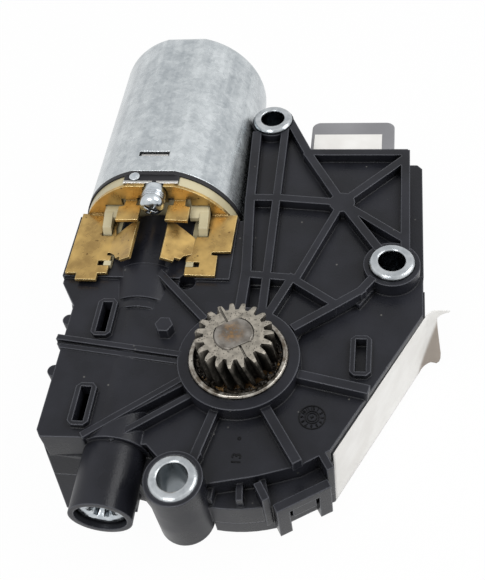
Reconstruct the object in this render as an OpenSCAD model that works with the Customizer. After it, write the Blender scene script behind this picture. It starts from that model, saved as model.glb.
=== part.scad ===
// Sunroof drive motor: a worm-gear unit that winds a toothed roof cable.
// Frame: origin on the output axis in the plane of the boss rim, +Z out along
// the output shaft, +Y along the motor axis towards the closed end of the can.

/* [Gearing] */
// Distance from the output axis to the worm axis
centre_distance = 25.6; // [25.4:0.1:25.9]
// Depth of the worm axis below the boss rim
axis_depth = 8.5; // [8.3:0.1:8.8]
// Teeth on the worm wheel
wheel_teeth = 60; // [60:1:60]
// Pitch diameter of the worm
worm_pitch_d = 9.2; // [9:0.1:9.4]
// Face width of the worm wheel
wheel_width = 5; // [4:0.2:5.2]
// Teeth on the output pinion
pinion_teeth = 19; // [16:1:22]
// Pitch of the roof cable the pinion winds
cable_pitch = 2.54; // [2.2:0.02:2.8]
// Height of the pinion teeth above the boss rim
pinion_height = 8.6; // [6:0.2:12]
// Lean of the pinion teeth in degrees
pinion_lean = 11; // [0:1:20]

/* [Shafts] */
// Diameter of the output shaft
output_d = 8.8; // [8:0.1:9.4]
// Distance across the two flats of the output shaft
output_flats = 6.7; // [6:0.1:7.6]
// Diameter of the armature shaft
shaft_d = 5; // [4:0.1:6]

/* [Motor] */
// Outer diameter of the motor can
can_d = 42; // [41:0.1:42.2]
// Height of the can over its two flats
can_height = 40.6; // [38:0.2:41]
// Length of the can without its bearing cup
can_length = 55.5; // [50:0.5:60]
// Wall of the can
can_wall = 1.6; // [1.2:0.1:2]
// Thickness of the field magnets
magnet_t = 2.75; // [2.2:0.05:3.2]
// Length of the lamination stack
stack_length = 32; // [26:1:34]
// Diameter of the commutator
commutator_d = 16; // [14:0.5:17]

/* [Housing] */
// Diameter of the round boss under the pinion
boss_d = 27.2; // [26.4:0.2:29]
// Outer diameter of the steel ring in the boss
ring_d = 22.1; // [21.5:0.1:23]
// Wall of the steel ring
ring_wall = 1.4; // [1:0.1:1.8]
// Outer diameter of the worm tube
tube_d = 13.7; // [13.2:0.1:14.2]
// Bore of the worm tube
tube_bore = 11.3; // [11:0.1:11.6]
// Thickness of the moulded walls
wall = 2; // [1.6:0.1:2.2]
// Width of the stiffening ribs
rib_w = 1.8; // [1.4:0.1:2.4]
// Depth of the pockets between the ribs of the long arm
pocket_depth = 2.6; // [1.5:0.1:3]

/* [Mounting] */
// Bore of the three mounting sleeves
sleeve_bore = 6.5; // [6:0.1:6.8]
// Outer diameter of the plain front sleeve
front_sleeve_d = 10.3; // [9.6:0.1:10.6]
// Diameter of the rounded collar on the two long-arm sleeves
collar_d = 10.6; // [10:0.1:11]
// Height of the front sleeve face above the boss rim
front_face = 1.8; // [1.2:0.1:2.6]
// Height of the two collared sleeve faces above the boss rim
arm_face = 1; // [0.8:0.1:1.6]

/* [Hidden] */

fit = 0.05;
gap = 0.3;
eps = 0.1;
axis_x = -centre_distance;
axis_z = -axis_depth;

wheel_pitch_d = 2 * centre_distance - worm_pitch_d;
module_t = wheel_pitch_d / wheel_teeth;
worm_lead = PI * module_t;
lead_angle = atan(worm_lead / (PI * worm_pitch_d));
worm_tip_r = worm_pitch_d / 2 + 0.95 * module_t;
worm_root_r = worm_pitch_d / 2 - 1.25 * module_t;
wheel_tip_r = wheel_pitch_d / 2 + 0.95 * module_t;
wheel_root_r = wheel_pitch_d / 2 - 1.25 * module_t;
worm_length = 17;
thread_tip = 0.36;
thread_root = 1.1;
wheel_top = axis_z + wheel_width / 2;
wheel_bottom = axis_z - wheel_width / 2;

pinion_pitch_r = pinion_teeth * cable_pitch / (2 * PI);
pinion_tip_r = pinion_pitch_r + 0.85;
pinion_root_r = pinion_pitch_r - 1.15;
pinion_foot = -0.8;

deck_z = -4;
left_z = -0.8;
block_z = 0.05;
split_z = -16;
ledge_z = -9;
rim_z = -20.5;
cover_depth = axis_depth + can_height / 2;
chamber_top = wheel_top + gap;
chamber_r = wheel_tip_r + 0.9;
lid_z = axis_z - worm_tip_r - gap;
lid_t = 1.2;
lid_r = chamber_r + 1.6;

can_front = 46;
can_end = can_front + can_length;
can_r = can_d / 2;
plate_t = 1.2;
carrier_front = 42;
carrier_r = can_r - 0.4;
brass_t = 0.8;
brass_front = carrier_front - brass_t;
brass_r = carrier_r;
card_x = axis_x + 0.6;
fold_z = 0.35;
plate_z = fold_z + brass_t;
tab_z = 6.4;
window_x = sqrt(pow(brass_r, 2) - pow(plate_z + 4.5 - axis_z, 2)) - 1.57;
hook_x = window_x - 1.2;
strip_t = 0.8;
strip_half = 6.9;
screw_x = axis_x + 0.9;
screw_z = axis_z + 17.7;
screw_r = 2.75;
shank_r = 1.75;
shoulder_z = axis_z + can_height / 2 - 0.4;
rivet_r = 0.7;
rivet_at = [axis_x - 4.3, 44.15];
rivet_head_r = 1.3;
output_bush_r = 7;
front_bearing_r = 6.5;
can_bearing_r = 5.6;
ring_magnet_r = 6.9;
ring_space_r = 7.4;
dome_r = 10.2;
board_z = -19.6;
board_t = 1.6;
board_top = board_z + board_t;
header_x0 = 10.5;
header_x1 = 33.3;
header_z0 = -20;
header_z1 = -6.5;
box_front = 28.4;
commutator_r = commutator_d / 2;
brush_from = 30;
brush_to = 36;
brush_length = 6.9;
spring_gap = 0.9;
spring_wire = 0.34;
spring_pitch = 0.6;
spring_x = commutator_r + fit + brush_length + spring_gap + spring_wire;
channel_end = spring_x + 2 * spring_pitch + spring_wire + 0.07;
box_half = channel_end + 0.8;
can_clear_r = can_r + gap;
magnet_out_r = can_r - can_wall - fit;
magnet_in_r = magnet_out_r - magnet_t;
stack_d = 2 * (magnet_in_r - 0.6);

front_sleeve_at = [-9.4, -30.4];
side_sleeve_at = [33, 27.6];
rear_sleeve_at = [axis_x + can_r + 4.8, 77.9];
sleeve_body_r = 4.1;
sleeve_length = 19;
front_sleeve_r = front_sleeve_d / 2;
collar_r = collar_d / 2;
collar_h = 1.3;
front_tower_r = front_sleeve_r + 0.95;
arm_tower_r = collar_r + 0.4;
side_foot = arm_face - sleeve_length;
well_r = 5.9;

tube_r = tube_d / 2;
tube_end = -35.7;
tube_bore_r = tube_bore / 2;
step_edge = [-31, -21.3];

hub = [20.5, 47.3];
arm_left = [[-3.7, 72.5], [-2.8, 47.8], [-1.1, 24.7], [-1.3, 9.9]];
arm_top = [[5.4, 77], [10.7, 65.5], [35.6, 65.5]];
arm_right = [[37.2, 63.6], [37.2, 33]];
arm_low = [[28.6, 22.2], [26.4, 18.9], [19.4, 13.5], [12.9, 9.1]];
arm_outline = concat(arm_left, [[9, 0]], [arm_low[3], arm_low[2], arm_low[1], arm_low[0]],
  [arm_right[1], arm_right[0]], [arm_top[2], arm_top[1], arm_top[0]]);
left_outline = [[-3.4, brass_front], [-46, brass_front], [-45.7, 20], [-41.4, 13.4],
  [-41.4, -20], [-40.4, -21.6], step_edge, [-11, -7.2], [-1.3, 9.9], [-1.1, 24.7]];
deck_outline = [[-20, 6], [-31, -16], step_edge, [-26, -21.2], [-17.8, -20.5], [-14, -24],
  [-12, -31], [-5, -29], [2, -27.4], [6.3, -26.4], [15.2, -23.4], [21.2, -19.6],
  [40.3, 15.8], [40.3, 26], [36.6, 35], [10, 20]];
arc_r = 31.7;
clip_at = [15, -27.2];
clip_turn = 31;
clip_foot = -18.9;
slope_top = [-41.1, -21.5];
slope_foot = -25.1;
shell_left = [[-46, brass_front], [-45.7, 20], [-43.4, 13.4], [-43.2, -18], slope_top,
  [-24, -22], [-16, -30]];
shell_arc = [for (a = [-112 : 4 : -72]) [arc_r * cos(a), arc_r * sin(a)]];
shell_right = [[20.2, -24.2], [21.5, -19.5], [40.8, 16.8], [40.8, 68.5], [39.5, 70],
  [8.5, 70], [7, 68.5], [-1.6, 66], [-1.6, 46], [-4.5, brass_front]];
shell_outline = concat(shell_left, shell_arc, shell_right);
base_arc = [for (a = [-112 : 8 : -72]) [(arc_r - 5) * cos(a), (arc_r - 5) * sin(a)]];
base_outline = concat([for (i = [0 : 5]) shell_left[i]], base_arc,
  [for (i = [1 : len(shell_right) - 1]) shell_right[i]]);
front_side = [[-60, 50], [-60, -45], [19, -45], shell_right[1], [14, 4], [-2.4, 12],
  [-2.4, 50]];
label_side = [shell_right[1], [60, -19.5], [60, 24], [24, 24], [21, -12]];
long_side = [[24, 24], [60, 24], [60, 90], [12, 90], [12, 60], [20, 42]];
arm_side = [[-12, 26], [26, 26], [31, 33], [50, 33], [50, 90], [-12, 90]];

// Corner points of an outline moved inwards by one wall.
function inset(p, d) = let (n = len(p)) [for (i = [0 : n - 1])
  let (u = p[i] - p[(i + n - 1) % n], v = p[(i + 1) % n] - p[i],
    a = [-u[1], u[0]] / norm(u), b = [-v[1], v[0]] / norm(v))
  p[i] + (a + b) * d / (1 + a * b)];

module ring_slab(z0, z1, outline, w = wall)
  translate([0, 0, z0]) linear_extrude(z1 - z0) difference() {
    polygon(outline);
    polygon(inset(outline, w));
  }

module along_y(y0, y1, r, x = axis_x, z = axis_z, fn = 72)
  translate([x, y0, z]) rotate([-90, 0, 0]) cylinder(r = r, h = y1 - y0, $fn = fn);

module slab(z0, z1, pts)
  translate([0, 0, z0]) linear_extrude(z1 - z0) polygon(pts);

module post(z0, z1, r, at = [0, 0], fn = 64)
  translate([at[0], at[1], z0]) cylinder(r = r, h = z1 - z0, $fn = fn);

module block(x0, x1, y0, y1, z0, z1)
  translate([x0, y0, z0]) cube([x1 - x0, y1 - y0, z1 - z0]);

module rib(a, b, z0, z1, w = rib_w) {
  d = b - a;
  translate([a[0], a[1], z0])
    rotate([0, 0, atan2(d[1], d[0])])
      translate([-w / 2, -w / 2, 0])
        cube([norm(d) + w, w, z1 - z0]);
}

// Cross-section of the motor can: a circle cut by an upper and a lower flat.
module can_section(r, half_h)
  intersection() {
    circle(r = r, $fn = 96);
    square([2 * r + 1, 2 * half_h], center = true);
  }

module can_slice(y0, y1, inset)
  translate([axis_x, y0, axis_z]) rotate([-90, 0, 0])
    linear_extrude(y1 - y0) can_section(can_r - inset, can_height / 2 - inset);

// Socket for a locating tongue: a raised frame round a narrow slot.
socket_l = 10.6;
socket_w = 4.7;
module socket_frame(at, z0, z1)
  translate([at[0], at[1], 0])
    slab(z0, z1, [[-socket_w / 2, -socket_l / 2 + 1], [-socket_w / 2 + 1, -socket_l / 2],
      [socket_w / 2 - 1, -socket_l / 2], [socket_w / 2, -socket_l / 2 + 1],
      [socket_w / 2, socket_l / 2 - 1], [socket_w / 2 - 1, socket_l / 2],
      [-socket_w / 2 + 1, socket_l / 2], [-socket_w / 2, socket_l / 2 - 1]]);

module socket_slot(at, z0, z1)
  block(at[0] - 1.2, at[0] + 1.2, at[1] - 4.3, at[1] + 4.3, z0, z1);

sockets = [[-32.6, 9.5], [-32.4, -13.8], [26.6, 3.3]];

// Ribbed long arm: a floor between a rim and ribs that meet at one hub.
module bar(a, b, w) {
  d = b - a;
  translate(a) rotate(atan2(d[1], d[0])) translate([-w / 2, -w / 2])
    square([norm(d) + w, w]);
}

module bar_chain(pts, w)
  for (i = [0 : len(pts) - 2]) bar(pts[i], pts[i + 1], w);

module arm_ribs_2d() {
  bar_chain(arm_left, 2.4);
  bar_chain(arm_top, 2.2);
  bar_chain([[36.1, 65.2], [36.1, 33]], 2.2);
  bar_chain([[28.2, 22.6], [26, 19.4], [19, 14.1], [12, 8.9]], 2);
  bar(hub, [11, 64.6], 2.2);
  bar(hub, [35.6, 63], 2.2);
  bar(hub, [35.6, 35.5], 2);
  bar(hub, [30, 32], 2.2);
  bar(hub, [11, 22.6], 1.8);
  bar([4.2, 48.8], hub, 2.2);
  bar([-2, 48.8], [4.2, 48.8], 2.2);
  bar([3.9, 74], [3.9, 12.6], 2);
  bar([-1, 23.6], [9.8, 22.8], 2);
  bar([9.8, 22.8], [20.4, 15.4], 2);
  bar([9.6, 22], [5.6, 12.4], 2);
  translate(hub) circle(r = 3.2, $fn = 48);
}

module arm_body() {
  floor_z = -pocket_depth - wall;
  difference() {
    slab(floor_z, -pocket_depth, arm_outline);
    slab(-pocket_depth - 0.9, 1, [[0, 22], [2.7, 22], [2.7, 14.5], [0.2, 14.5]]);
  }
  translate([0, 0, -pocket_depth - 0.2]) linear_extrude(pocket_depth + 0.2) arm_ribs_2d();
  // Skirt under the arm and the ledge that meets the rear cover.
  intersection() {
    ring_slab(split_z, floor_z + eps, arm_outline);
    slab(split_z, 0, arm_side);
  }
  slab(ledge_z - wall, ledge_z, [[35.6, 31], [40.8, 31], [40.8, 68.5], [39.5, 70], [8.5, 70],
    [7.4, 69.2], [10, 64.6], [35.6, 64.6]]);
}

module left_body() {
  slab(left_z - wall, left_z, left_outline);
  ring_slab(split_z, left_z - wall + eps, left_outline);
  // Raised ribs and small features of the left plate.
  rib([-13.8, 0.2], [-42, 3.6], left_z - 0.5, left_z + 0.9, 1.4);
  rib([-13.4, -1.6], [-41.2, 1.6], left_z - 0.5, left_z + 0.4, 1.2);
  rib([-12.4, -6.4], [-30.6, -20.6], left_z - 0.5, left_z + 0.5, 1.5);
  rib([-23.4, 24.6], [-9.4, 10], left_z - 0.5, left_z + 1.6, 1.8);
  socket_frame(sockets[0], left_z - 0.5, left_z + 1.3);
  socket_frame(sockets[1], left_z - 0.5, left_z + 1.3);
  post(left_z - 0.5, left_z + 3, 2.1, [-17.6, 6.6], 6);
  block(-42.6, -41, 2.2, 4.2, -6, left_z);
  for (y = [9.4, -4.8]) post(-6, left_z - 0.3, 1.5, [-41.6, y], 24);
}

module motor_block() {
  difference() {
    union() {
      block(-46, -4.8, 21.7, brass_front, split_z, block_z);
      translate([axis_x, 15.5, axis_z]) rotate([-90, 0, 0])
        cylinder(r1 = dome_r - 1, r2 = dome_r, h = 8.6, $fn = 72);
      along_y(24, 25, dome_r);
      along_y(24.9, brass_front, dome_r - 0.5);
      along_y(13, 15.6, dome_r - 1.6);
    }
    block(axis_x - dome_r - 1, axis_x + dome_r + 1, 10, brass_front + 1, -40, split_z - 0.4);
  }
}

module lower_deck() {
  slab(deck_z - wall, deck_z, deck_outline);
  intersection() {
    ring_slab(ledge_z - wall, deck_z - wall + eps, deck_outline);
    slab(-20, 0, front_side);
  }
  rib([-3.6, -12], [-6.4, -23.6], deck_z - 0.5, -1.4, 2);
  rib([-6.4, -23.6], [-8.2, -27], deck_z - 0.5, -1.4, 2);
  rib([6.6, -11], [14.2, -23], deck_z - 0.5, -1.4, 2.2);
  rib([13.6, -3], [27.6, -6], deck_z - 0.5, -1.4, 2.2);
  rib([-9.5, -9.5], [-24.6, -20.6], deck_z - 0.5, left_z - 0.4, 1.4);
  socket_frame(sockets[2], deck_z - 0.5, deck_z + 1.4);
}

// Sloping front wall of the shell beside the worm tube.
module front_slope(z0, z1)
  intersection() {
    translate([slope_top[0], 0, 0]) rotate([90, 0, 90]) linear_extrude(-24 - slope_top[0])
      polygon([[slope_top[1], ledge_z], [slope_foot, -cover_depth],
        [slope_top[1] + 1, -cover_depth], [slope_top[1] + 1, ledge_z]]);
    block(-50, 0, -40, 0, z0, z1);
  }

module lower_shell() {
  intersection() {
    union() {
      ring_slab(split_z, ledge_z, shell_outline);
      front_slope(split_z, ledge_z);
      difference() {
        slab(ledge_z - wall, ledge_z, shell_outline);
        slab(-20, 0, inset(left_outline, wall));
        slab(-20, 0, inset(deck_outline, wall));
      }
    }
    slab(-20, 0, front_side);
  }
  // Gussets that carry the deck edge over the ledge.
  for (a = [-96, -84, -74])
    rotate([0, 0, a]) block(25, arc_r - 0.6, -0.7, 0.7, ledge_z - 0.5, deck_z - 2);
}

module towers() {
  post(split_z - 2, front_face - 0.6, front_tower_r, front_sleeve_at);
  post(-12, arm_face - 1.2, arm_tower_r + 0.9, side_sleeve_at);
  post(-18, arm_face - 1.2, arm_tower_r, rear_sleeve_at);
  rib([29.6, 24.4], [25.6, 18.2], -12, -2.4, 2);
  slab(-12, -pocket_depth - 0.5, [[-3.7, 74], [-3.7, 69.4], [4.6, 69.4], [5.6, 76]]);
}

module guide_ribs() {
  // Two upright guides beside the snap clip.
  translate([clip_at[0], clip_at[1], split_z]) rotate([0, 0, clip_turn])
    for (s = [-1, 1]) translate([s * 7.3 - 0.8, -0.4, 0]) cube([1.6, 4.2, 12]);
}

module clip_wedge(w)
  translate([clip_at[0], clip_at[1], -13]) rotate([0, 0, clip_turn])
    translate([-w / 2, -2.4, 0]) cube([w, 3, 3.4]);

module gear_housing() color([0.17, 0.17, 0.18]) {
  difference() {
    union() {
      arm_body();
      left_body();
      motor_block();
      lower_deck();
      lower_shell();
      towers();
      post(chamber_top, 0, boss_d / 2, [0, 0], 96);
      post(lid_z - lid_t - 0.4, deck_z - 0.5, lid_r + 1.6, [0, 0], 96);
      along_y(tube_end, 20, tube_r);
      along_y(-21, 16, tube_r + 1.2);
      guide_ribs();
      clip_wedge(5.4);
    }
    // Gear chamber with its lid seat.
    post(split_z - 3, chamber_top, chamber_r, [0, 0], 96);
    post(split_z - 3, lid_z, lid_r + fit, [0, 0], 96);
    // Room for brushes and carrier behind the brass.
    block(axis_x - box_half - gap, axis_x + box_half + gap, 27, brass_front + 1, split_z - 1,
      -1.7);
    along_y(26, brass_front + 1, commutator_r + 0.6);
    for (s = [-1, 1])
      carrier_arm(s, arm_half + 0.2, 24.2, brass_front + 1, -1.8, block_z + 1);
    // Boss: seat of the steel ring and bore of the bush.
    post(-3, 1, ring_d / 2, [0, 0], 96);
    post(chamber_top - 1, 0, output_bush_r, [0, 0], 72);
    // Worm tunnel from the plug to the front bearing.
    along_y(tube_end - 1, 15, tube_bore_r);
    along_y(14, 22, front_bearing_r);
    along_y(21.9, 27.1, ring_space_r);
    block(axis_x - 3, axis_x + 3, 22, 28, split_z - 1, axis_z);
    // Room for the can and the end plate.
    along_y(can_front - plate_t - gap, can_end + 8, can_clear_r, fn = 96);
    block(-60, axis_x + can_clear_r - 3, brass_front, can_end, -40, 20);
    // Window for the connector in the arm skirt.
    block(header_x0 - gap, header_x1 + gap, 60, 90, header_z0 - gap, header_z1 + gap);
    // Bores for the three sleeves.
    post(-30, 5, front_sleeve_r, front_sleeve_at);
    post(-30, 5, sleeve_body_r, side_sleeve_at);
    post(-30, 5, sleeve_body_r, rear_sleeve_at);
    for (s = sockets) socket_slot(s, deck_z - 1.4, 2);
    post(left_z - wall - 1, 2, 2, [-15, 21]);
    // Relief under the collars.
    post(arm_face - collar_h, 5, collar_r + fit, side_sleeve_at);
    post(arm_face - collar_h, 5, collar_r + fit, rear_sleeve_at);
  }
}

module rear_cover() color([0.15, 0.15, 0.16]) {
  floor_z = -cover_depth + wall;
  difference() {
    union() {
      ring_slab(rim_z, split_z, shell_outline);
      difference() {
        slab(rim_z, rim_z + wall, shell_outline);
        slab(rim_z - 1, 0, inset(base_outline, wall));
      }
      ring_slab(-cover_depth, rim_z + wall, base_outline);
      slab(-cover_depth, floor_z, base_outline);
      // High walls beside the label and along the long arm.
      intersection() {
        ring_slab(split_z - 1, deck_z - wall, shell_outline);
        slab(-30, 0, label_side);
      }
      intersection() {
        ring_slab(split_z - 1, ledge_z - wall, shell_outline);
        slab(-30, 0, long_side);
      }
      front_slope(-cover_depth, split_z);
      snap_clip();
      // Posts under the circuit board and the well of the side screw.
      for (p = [[-33, 31], [-32, 9], [12, -18], [33, 45], [6, 54]]) post(floor_z - eps, board_z, 2.4, p);
      post(floor_z - eps, side_foot, well_r + 1.6, side_sleeve_at);
    }
    // Room for the sleeve towers, the can and the connector.
    post(-40, 0, front_tower_r + gap, front_sleeve_at);
    along_y(can_front - plate_t - gap, can_end + 8, can_clear_r, fn = 96);
    block(header_x0 - gap, header_x1 + gap, 60, 90, header_z0 - gap, 0);
    post(split_z - 2, 5, arm_tower_r + 0.9 + gap, side_sleeve_at);
    post(-40, 5, well_r, side_sleeve_at);
    clip_wedge(5.8);
  }
}

// Snap clip: two legs that hang from a bridge and hook under the wedge.
module snap_clip()
  translate([clip_at[0], clip_at[1], 0]) rotate([0, 0, clip_turn])
    difference() {
      block(-6.2, 6.2, -2.6, 0.5, clip_foot, -7);
      block(-6.3, 6.3, -0.7, 1, split_z, 0);
      block(-3.4, 3.4, -4, 1, split_z, -9.4);
      block(-3.4, 3.4, -4, -0.7, clip_foot - 1, split_z + eps);
    }

module motor_can() color([0.72, 0.73, 0.75]) {
  round_r = 3;
  difference() {
    union() {
      intersection() {
        translate([axis_x, can_front, axis_z]) rotate([-90, 0, 0])
          rotate_extrude($fn = 96) can_wall_profile(can_r, can_length, round_r);
        translate([axis_x - 40, can_front, axis_z]) rotate([90, 0, 90])
          linear_extrude(80) side_profile(can_length, can_height / 2, round_r);
      }
      along_y(can_end - 1, can_end + 3, 7.4, fn = 48);
    }
    can_slice(can_front - 1, can_end - can_wall, can_wall);
    along_y(can_end - 3, can_end + 1.6, can_bearing_r, fn = 48);
    // Punched slot in the upper flat.
    block(axis_x - 4.6, axis_x + 3.2, 51.4, 53, axis_z + 15, axis_z + 25);
  }
}

module can_wall_profile(r, len, rr) {
  square([r - rr, len]);
  square([r, len - rr]);
  translate([r - rr, len - rr]) circle(r = rr, $fn = 32);
}

module side_profile(len, half_h, rr) {
  translate([0, -half_h]) square([len - rr, 2 * half_h]);
  translate([0, -half_h + rr]) square([len, 2 * half_h - 2 * rr]);
  for (s = [-1, 1]) translate([len - rr, s * (half_h - rr)]) circle(r = rr, $fn = 32);
}

module end_plate() color([0.13, 0.13, 0.14]) {
  difference() {
    union() {
      can_slice(can_front - plate_t, can_front, 0);
      block(axis_x - strip_half, axis_x + strip_half, carrier_front + strip_t,
        can_front - plate_t + eps, screw_z - 3.4, shoulder_z);
    }
    along_y(can_front - 3, can_front + 1, commutator_r + 1.6);
    along_y(30, can_front + 1, shank_r + fit, x = screw_x, z = screw_z, fn = 32);
    block(axis_x - 12.5, axis_x - 4, can_front - 3, can_front + 1, axis_z - 14, axis_z - 11);
    post(shoulder_z - 1, 20, rivet_r, rivet_at, 24);
    post(shoulder_z, 20, rivet_head_r + fit, rivet_at, 32);
  }
}

module brush_carrier() color([0.88, 0.84, 0.66]) {
  difference() {
    union() {
      translate([axis_x, carrier_front, axis_z]) rotate([-90, 0, 0])
        linear_extrude(can_front - plate_t - carrier_front)
          can_section(carrier_r, can_height / 2 - 0.5);
      for (s = [-1, 1]) {
        // Brush box beside the commutator.
        box_side(s, commutator_r + 0.6, box_half, box_front, carrier_front + eps, -4.4, 4.4);
        // Hook that comes through the brass and grips its front plate.
        translate([card_x + s * hook_x, 0, 0]) rotate([90, 0, 90])
          translate([0, 0, -1.1]) linear_extrude(2.2) polygon(hook_profile);
        translate([card_x + s * (window_x - 2.6), 0, 0]) rotate([90, 0, 90])
          translate([0, 0, -2.2]) linear_extrude(4.4) polygon(hook_root);
        // Arm under the brass with a foot in the small window near its front edge.
        carrier_arm(s, arm_half, 24.4, carrier_front + eps, -1.6, block_z + 0.05);
        carrier_arm(s, arm_half, 24.4, 25.8, -1, plate_z);
      }
    }
    along_y(20, can_front + 1, commutator_r + 0.5);
    block(axis_x - strip_half - fit, axis_x + strip_half + fit, carrier_front - 1, can_front + 1,
      screw_z - 3.5, 30);
    // Channels for the two brushes.
    for (s = [-1, 1])
      box_side(s, 0, channel_end, brush_from - fit, brush_to + fit, -2.5 - fit, 2.5 + fit);
  }
}

arm_half = 0.9;
module carrier_arm(s, half, y0, y1, z0, z1)
  block(card_x + s * 10.2 - half, card_x + s * 10.2 + half, y0, y1, z0, z1);

module box_side(s, x0, x1, y0, y1, z0, z1)
  translate([axis_x, 0, axis_z]) mirror([s < 0 ? 1 : 0, 0, 0]) block(x0, x1, y0, y1, z0, z1);

// Side views of the hook and of its root in the window of the brass arc.
hook_root = [[carrier_front + eps, plate_z + gap], [carrier_front + eps, plate_z + 3.2],
  [brass_front - 1.2, plate_z + 3], [brass_front - 3, plate_z + 2.2],
  [brass_front - 3, plate_z + 1]];
hook_profile = [[carrier_front + eps, plate_z + 1], [carrier_front + eps, plate_z + 3],
  [brass_front - 2, plate_z + 2.8], [35.4, plate_z + 1.6], [34.3, plate_z - 0.4],
  [34.3, block_z + gap], [36.2, block_z + gap], [36.2, plate_z]];

// One brass stamping: upright arc behind, folded flat plate and raised leaf in front.
module terminal_plate(s) {
  difference() {
    union() {
      intersection() {
        translate([axis_x, brass_front, axis_z]) rotate([-90, 0, 0])
          linear_extrude(brass_t) can_section(brass_r, can_height / 2 - 0.6);
        block(s > 0 ? axis_x + 0.9 : -60, s > 0 ? 20 : axis_x - 0.1, 30, 50, fold_z, 30);
      }
      slab(fold_z, plate_z, s > 0 ? right_plate : left_plate);
      // Rounded inside corner of the fold.
      block(card_x + (s > 0 ? 13.4 : -17.6), card_x + (s > 0 ? 17.6 : -13.4), brass_front - 0.4,
        brass_front + eps, plate_z - eps, plate_z + 0.4);
      // Folded tab beside the screw.
      slab(tab_z - brass_t, tab_z, [for (p = tab_shape) [card_x + s * p[0], p[1]]]);
      leaf(s);
    }
    along_y(30, 50, screw_r + 0.35, x = screw_x, z = screw_z, fn = 40);
    // Opening below the tabs, relief notches beside them and window for the hook root.
    side_cut(s, -1, 8.3, 38.4, 50, 0, tab_z - brass_t);
    side_cut(s, 7.7, 8.8, brass_front - 1, 50, 0, tab_z + 0.5);
    side_cut(s, 3.2, 4.7, brass_front - 1, 50, 0, tab_z + 0.7);
    side_cut(s, 8.2, window_x, brass_front - 1.2, 50, plate_z + 0.05, plate_z + 3.5);
    // Windows for the hook end and for the foot of the carrier.
    side_cut(s, hook_x - 1.3, hook_x + 1.4, 33.9, 36.6, -2, plate_z + eps);
    side_cut(s, 9.2, 12.6, 24.3, 25.9, -2, plate_z + eps);
  }
}

module side_cut(s, x0, x1, y0, y1, z0, z1)
  block(card_x + (s > 0 ? x0 : -x1), card_x + (s > 0 ? x1 : -x0), y0, y1, z0, z1);

tab_shape = [[4.7, brass_front + 0.1], [4.7, 39.6], [3.4, 39.6], [3.4, 34.7], [9, 34.5],
  [9, 39], [7.7, 39.4], [7.7, brass_front + 0.1]];
left_plate = [[-35.4, brass_front + 0.1], [-45.1, brass_front + 0.1], [-45.1, 21.9],
  [-42.2, 21.9], [-42.2, 19.9], [-37, 19.9], [-37, 21.9], [-34.7, 22.1], [-34.7, 27.4],
  [-35.8, 27.5], [-35.8, 28.4], [-34.6, 28.4], [-34.6, 33.6], [-35.4, 36.6]];
right_plate = [[-5.1, brass_front + 0.1], [-13.6, brass_front + 0.1], [-13.6, 36.4],
  [-14.4, 33.4], [-14.9, 28.2], [-15.9, 27.9], [-15.6, 21.9], [-8.2, 21.8], [-8.4, 28],
  [-9.9, 28.2], [-9.9, 29.1], [-5.3, 29.4]];

module terminal_plate_left() color([0.78, 0.58, 0.26]) terminal_plate(-1);
module terminal_plate_right() color([0.78, 0.58, 0.26]) terminal_plate(1);

// Springy leaf that leans over the shaft housing like one half of a roof.
module leaf(s) {
  leaf_lean = 29;
  translate([card_x + s * 3.9, 0, 4.7]) mirror([s > 0 ? 0 : 1, 0, 0]) rotate([0, leaf_lean, 0])
    translate([0, 0, -brass_t]) linear_extrude(brass_t)
      polygon([[0, 24.2], [3.2, 24.4], [3.3, 25.6], [4.8, 25.7], [5.4, 26.9], [7.4, 28.4],
        [7.6, 33.4], [6.4, 34], [2, 35.9], [0, 36.1]]);
}

module clamp_strip() color([0.75, 0.75, 0.74])
  difference() {
    block(axis_x - strip_half, axis_x + strip_half, carrier_front, carrier_front + strip_t,
      screw_z - 3.4, shoulder_z + 0.2);
    along_y(30, 50, shank_r + fit, x = screw_x, z = screw_z, fn = 32);
    block(screw_x - 0.5, screw_x + 0.5, 30, 50, screw_z, 30);
  }

module carrier_screw() color([0.7, 0.71, 0.73])
  difference() {
    union() {
      along_y(35.4, 36.2, screw_r - 0.25, x = screw_x, z = screw_z, fn = 40);
      along_y(36.1, 37.4, screw_r, x = screw_x, z = screw_z, fn = 40);
      along_y(37.3, 38.1, screw_r - 0.45, x = screw_x, z = screw_z, fn = 40);
      along_y(38, 39.2, screw_r, x = screw_x, z = screw_z, fn = 40);
      along_y(39.1, 39.9, screw_r - 0.45, x = screw_x, z = screw_z, fn = 40);
      along_y(39.8, carrier_front, screw_r, x = screw_x, z = screw_z, fn = 40);
      along_y(35.4, can_front - plate_t + 0.5, shank_r, x = screw_x, z = screw_z, fn = 32);
    }
    translate([screw_x, 35.3, screw_z]) for (a = [0, 60, 120])
      rotate([0, a, 0]) translate([-0.45, 0, -1.6]) cube([0.9, 1.5, 3.2]);
  }

module carrier_rivet() color([0.8, 0.8, 0.82]) {
  post(shoulder_z - 0.9, shoulder_z + eps, rivet_r, rivet_at, 24);
  post(shoulder_z, shoulder_z + 0.4, rivet_head_r, rivet_at, 32);
}

module field_magnets() color([0.24, 0.24, 0.25])
  translate([axis_x, 51, axis_z]) rotate([-90, 0, 0])
    for (s = [0, 180])
      rotate([0, 0, s - 62]) rotate_extrude(angle = 124, $fn = 96)
        translate([magnet_in_r, 0]) square([magnet_out_r - magnet_in_r, 40]);

module can_bearing() color([0.6, 0.5, 0.36])
  difference() {
    along_y(can_end - 3, can_end + 1.6, can_bearing_r, fn = 48);
    along_y(can_end - 4, can_end + 3, shaft_d / 2 + fit, fn = 48);
  }

module front_bearing() color([0.6, 0.5, 0.36])
  difference() {
    along_y(15.4, 21.9, front_bearing_r, fn = 48);
    along_y(10, 30, shaft_d / 2 + fit, fn = 48);
  }

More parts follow.
